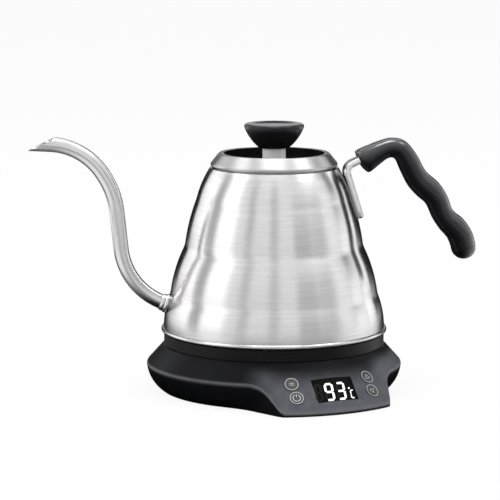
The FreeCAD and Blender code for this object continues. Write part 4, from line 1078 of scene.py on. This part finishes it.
# Table: a wide sheet of pale paper laid flat under the kettle. It shows white behind the kettle
# and keeps a soft shadow.
TABLE_SIDES = (-4.0, -3.0, 4.0, 4.5)
WHITE_IN_PICTURE = 0.92
WHITE_IN_STEEL = 0.35


def blend(tree, share, first, second, end):
    """Mixes two shaders by a share at the end of a tree."""
    mixed = add(tree, "MixShader", Fac=share)
    fill(tree, mixed.inputs[1], first)
    fill(tree, mixed.inputs[2], second)
    feed(tree, tree.nodes[end], Surface=mixed)


table_white, tree, shader = new_finish("table_white")
paper = shades(tree, noise(tree, 60.0, 3.0), 0.86, 0.9)
feed(tree, shader, Roughness=0.9, Specular_IOR_Level=0.0, Base_Color=paper)
ray = add(tree, "LightPath").outputs
in_picture = reckon(tree, "MULTIPLY", ray["Is Camera Ray"], WHITE_IN_PICTURE)
seen = reckon(tree, "MULTIPLY_ADD", ray["Is Glossy Ray"], WHITE_IN_STEEL, in_picture)
white = add(tree, "Emission", Color=1.0, Strength=1.0)
blend(tree, seen, shader, white, "Material Output")
sheet = bmesh.new()
sheet.faces.new([sheet.verts.new((x, y, 0.0)) for x, y in oblong(*TABLE_SIDES)])
table = built("table", sheet, table_white, False)

# Studio: a white room, soft lamps for the table, and cards that only reflections show. Bright
# cards draw the light bands down the steel, and black ones its dark edges.
VIEW_TURN = radians(-6.0)
ROOM_TONE = 0.6
LAMP_AIM = Vector((0, 0, 0.08))
world = bpy.data.worlds.new("studio_room")
bpy.context.scene.world = world
world.use_nodes = True
tree = world.node_tree
room = feed(tree, tree.nodes["Background"], Color=ROOM_TONE, Strength=1.0)
backdrop = add(tree, "Background", Color=1.0, Strength=1.0)
ray = add(tree, "LightPath").outputs
direct = reckon(tree, "MAXIMUM", ray["Is Camera Ray"], ray["Is Glossy Ray"])
clear = reckon(tree, "MAXIMUM", direct, ray["Is Transmission Ray"])
blend(tree, clear, room, backdrop, "World Output")


def from_view(bearing, distance, height):
    """A point round the kettle: bearing 0 faces the camera, 90 is to its right."""
    angle = radians(bearing)
    point = Vector((sin(angle) * distance, -cos(angle) * distance, height))
    return Matrix.Rotation(VIEW_TURN, 3, "Z") @ point


def lamp(name, bearing, distance, height, wide, tall, power):
    """A soft lamp that faces the kettle and shows in no reflection."""
    data = bpy.data.lights.new(name, "AREA")
    data.shape = "RECTANGLE"
    data.size, data.size_y, data.energy = wide, tall, power
    light = new_piece(name, data)
    light.location = from_view(bearing, distance, height)
    light.rotation_euler = (LAMP_AIM - light.location).to_track_quat("-Z", "Y").to_euler()
    light.visible_glossy = False


def show_card(name, rows, tone, closed):
    """A card through rows of points with their cover, which only reflections show."""
    name = "card_" + name
    mesh = bmesh.new()
    cover = mesh.verts.layers.float.new("cover")
    grid = []
    for row in rows:
        grid.append([mesh.verts.new(point) for point, _ in row])
        for corner, (_, share) in zip(grid[-1], row):
            corner[cover] = share
    for one, two in zip(grid, grid[1:]):
        join_rows(mesh, one, two, closed)
    bmesh.ops.remove_doubles(mesh, verts=mesh.verts, dist=1e-6)
    material, tree, shader = new_finish(name + "_paper")
    tree.nodes.remove(shader)
    paper = add(tree, "Emission", Color=tone)
    clear = add(tree, "BsdfTransparent")
    share = add(tree, "Attribute", attribute_name="cover").outputs["Fac"]
    blend(tree, share, clear, paper, "Material Output")
    piece = built(name, mesh, material, False)
    piece.visible_camera = piece.visible_diffuse = False
    piece.visible_shadow = piece.visible_transmission = False


def card(name, first, last, foot, top, tone, soft, distance=2.0, rise=0.0):
    """A card bent round the kettle, faded over soft degrees and a rise."""
    whole = [first + soft] + between(16, first + soft, last - soft)
    columns = [(first, 0.0)] + [(bearing, 1.0) for bearing in whole] + [(last, 0.0)]
    border = 0.0 if rise else 1.0
    levels = [(foot, border), (foot + rise, 1.0), (top - rise, 1.0), (top, border)]
    rows = []
    for bearing, share in columns:
        rows.append([(from_view(bearing, distance, height), share * part) for height, part in levels])
    show_card(name, rows, tone, False)


def level_card(name, bearing, distance, height, size, tone):
    """A round level card, faded towards its border."""
    middle = from_view(bearing, distance, height)
    rows = []
    for part, share in ((1.0, 0.0), (0.7, 1.0), (0.0, 1.0)):
        outline = round_outline(size * part, middle=middle)
        rows.append([((x, y, height), share) for x, y in outline])
    show_card(name, rows, tone, True)


lamp("lamp_left", -60, 2.0, 1.4, 0.8, 1.8, 14)
lamp("lamp_right", 70, 2.0, 1.4, 0.8, 1.8, 12)
lamp("lamp_top", 0, 0.3, 2.2, 1.8, 1.8, 22)
card("behind", 134, 219, -0.3, 4.5, 0.004, 4.0, 2.6)
card("low_behind", 157, 203, 0.3, 1.0, 1.5, 5.0, 2.5, 0.15)
card("left_bright", -90, -51, -0.3, 3.2, 1.65, 9.0, 2.0, 0.6)
card("left_back_bright", -145, -98, -0.3, 1.5, 1.7, 5.0, 2.0, 0.5)
card("left_grey", -105, -82, -0.3, 5.0, 0.5, 7.0, 1.95)
card("front_left_grey", -43, -25, -0.3, 2.6, 0.6, 8.0, 2.0, 0.9)
card("front_grey", -9, 9, -0.3, 2.6, 0.6, 8.0, 2.0, 0.9)
card("front_right_grey", 23, 52, -0.3, 1.3, 0.58, 6.0, 2.0, 0.5)
card("front_right_pale", 38, 84, -0.3, 1.3, 0.66, 18.0, 2.05, 0.5)
card("right_dark", 98, 117, 0.62, 4.5, 0.03, 4.0, 2.1, 0.35)
card("right_bright", 115, 137, -0.3, 4.5, 1.8, 4.0, 2.0)
card("right_low", 94, 116, -0.3, 0.55, 1.4, 4.0, 2.0, 0.2)
card("right_white", 70, 98, -0.3, 4.5, 1.15, 10.0)
card("high_behind", 140, 220, 1.9, 3.7, 2.0, 8.0, 2.3, 0.4)
level_card("ceiling_right", 84, 1.3, 2.0, 0.62, 4.5)
level_card("ceiling_left", -95, 1.5, 2.0, 0.7, 3.0)
level_card("ceiling_middle", 180, 0.14, 2.05, 0.5, 10.0)
# A black disc under the kettle, seen only in reflections: a painted shadow of the kettle on the table.
level_card("table_dark", 0, 0.0, 0.0004, 0.15, 0.01)
level_card("table_grey", 0, 0.0, 0.0002, 0.9, 0.5)
level_card("table_behind", 180, 1.6, 0.0003, 1.9, 0.01)
level_card("table_left", -119, 0.95, 0.0005, 0.6, 1.7)
level_card("table_right", 117, 0.95, 0.0005, 0.62, 1.5)
level_card("table_left_near", -66, 0.36, 0.0006, 0.22, 1.1)
level_card("table_right_near", 92, 0.36, 0.0006, 0.24, 1.1)

# Camera: at the photograph's angle, a little above the lid and turned with the view. Its long lens
# is set for a picture 500 pixels wide.
IMAGE_WIDTH = 500
FOCAL_PIXELS = 2631.33
SENSOR = 36.0
LOOK_DOWN = radians(8.652)
CAMERA_SPOT = (-0.1819, -1.5897, 0.3294)
camera_data = bpy.data.cameras.new("camera")
camera_data.sensor_width = SENSOR
camera_data.lens = FOCAL_PIXELS / IMAGE_WIDTH * SENSOR
camera_data.clip_end = 50.0
camera = new_piece("camera", camera_data)
camera.location = CAMERA_SPOT
camera.rotation_euler = (pi / 2 - LOOK_DOWN, 0.0, VIEW_TURN)
bpy.context.scene.camera = camera
bpy.context.scene.view_settings.view_transform = "Standard"
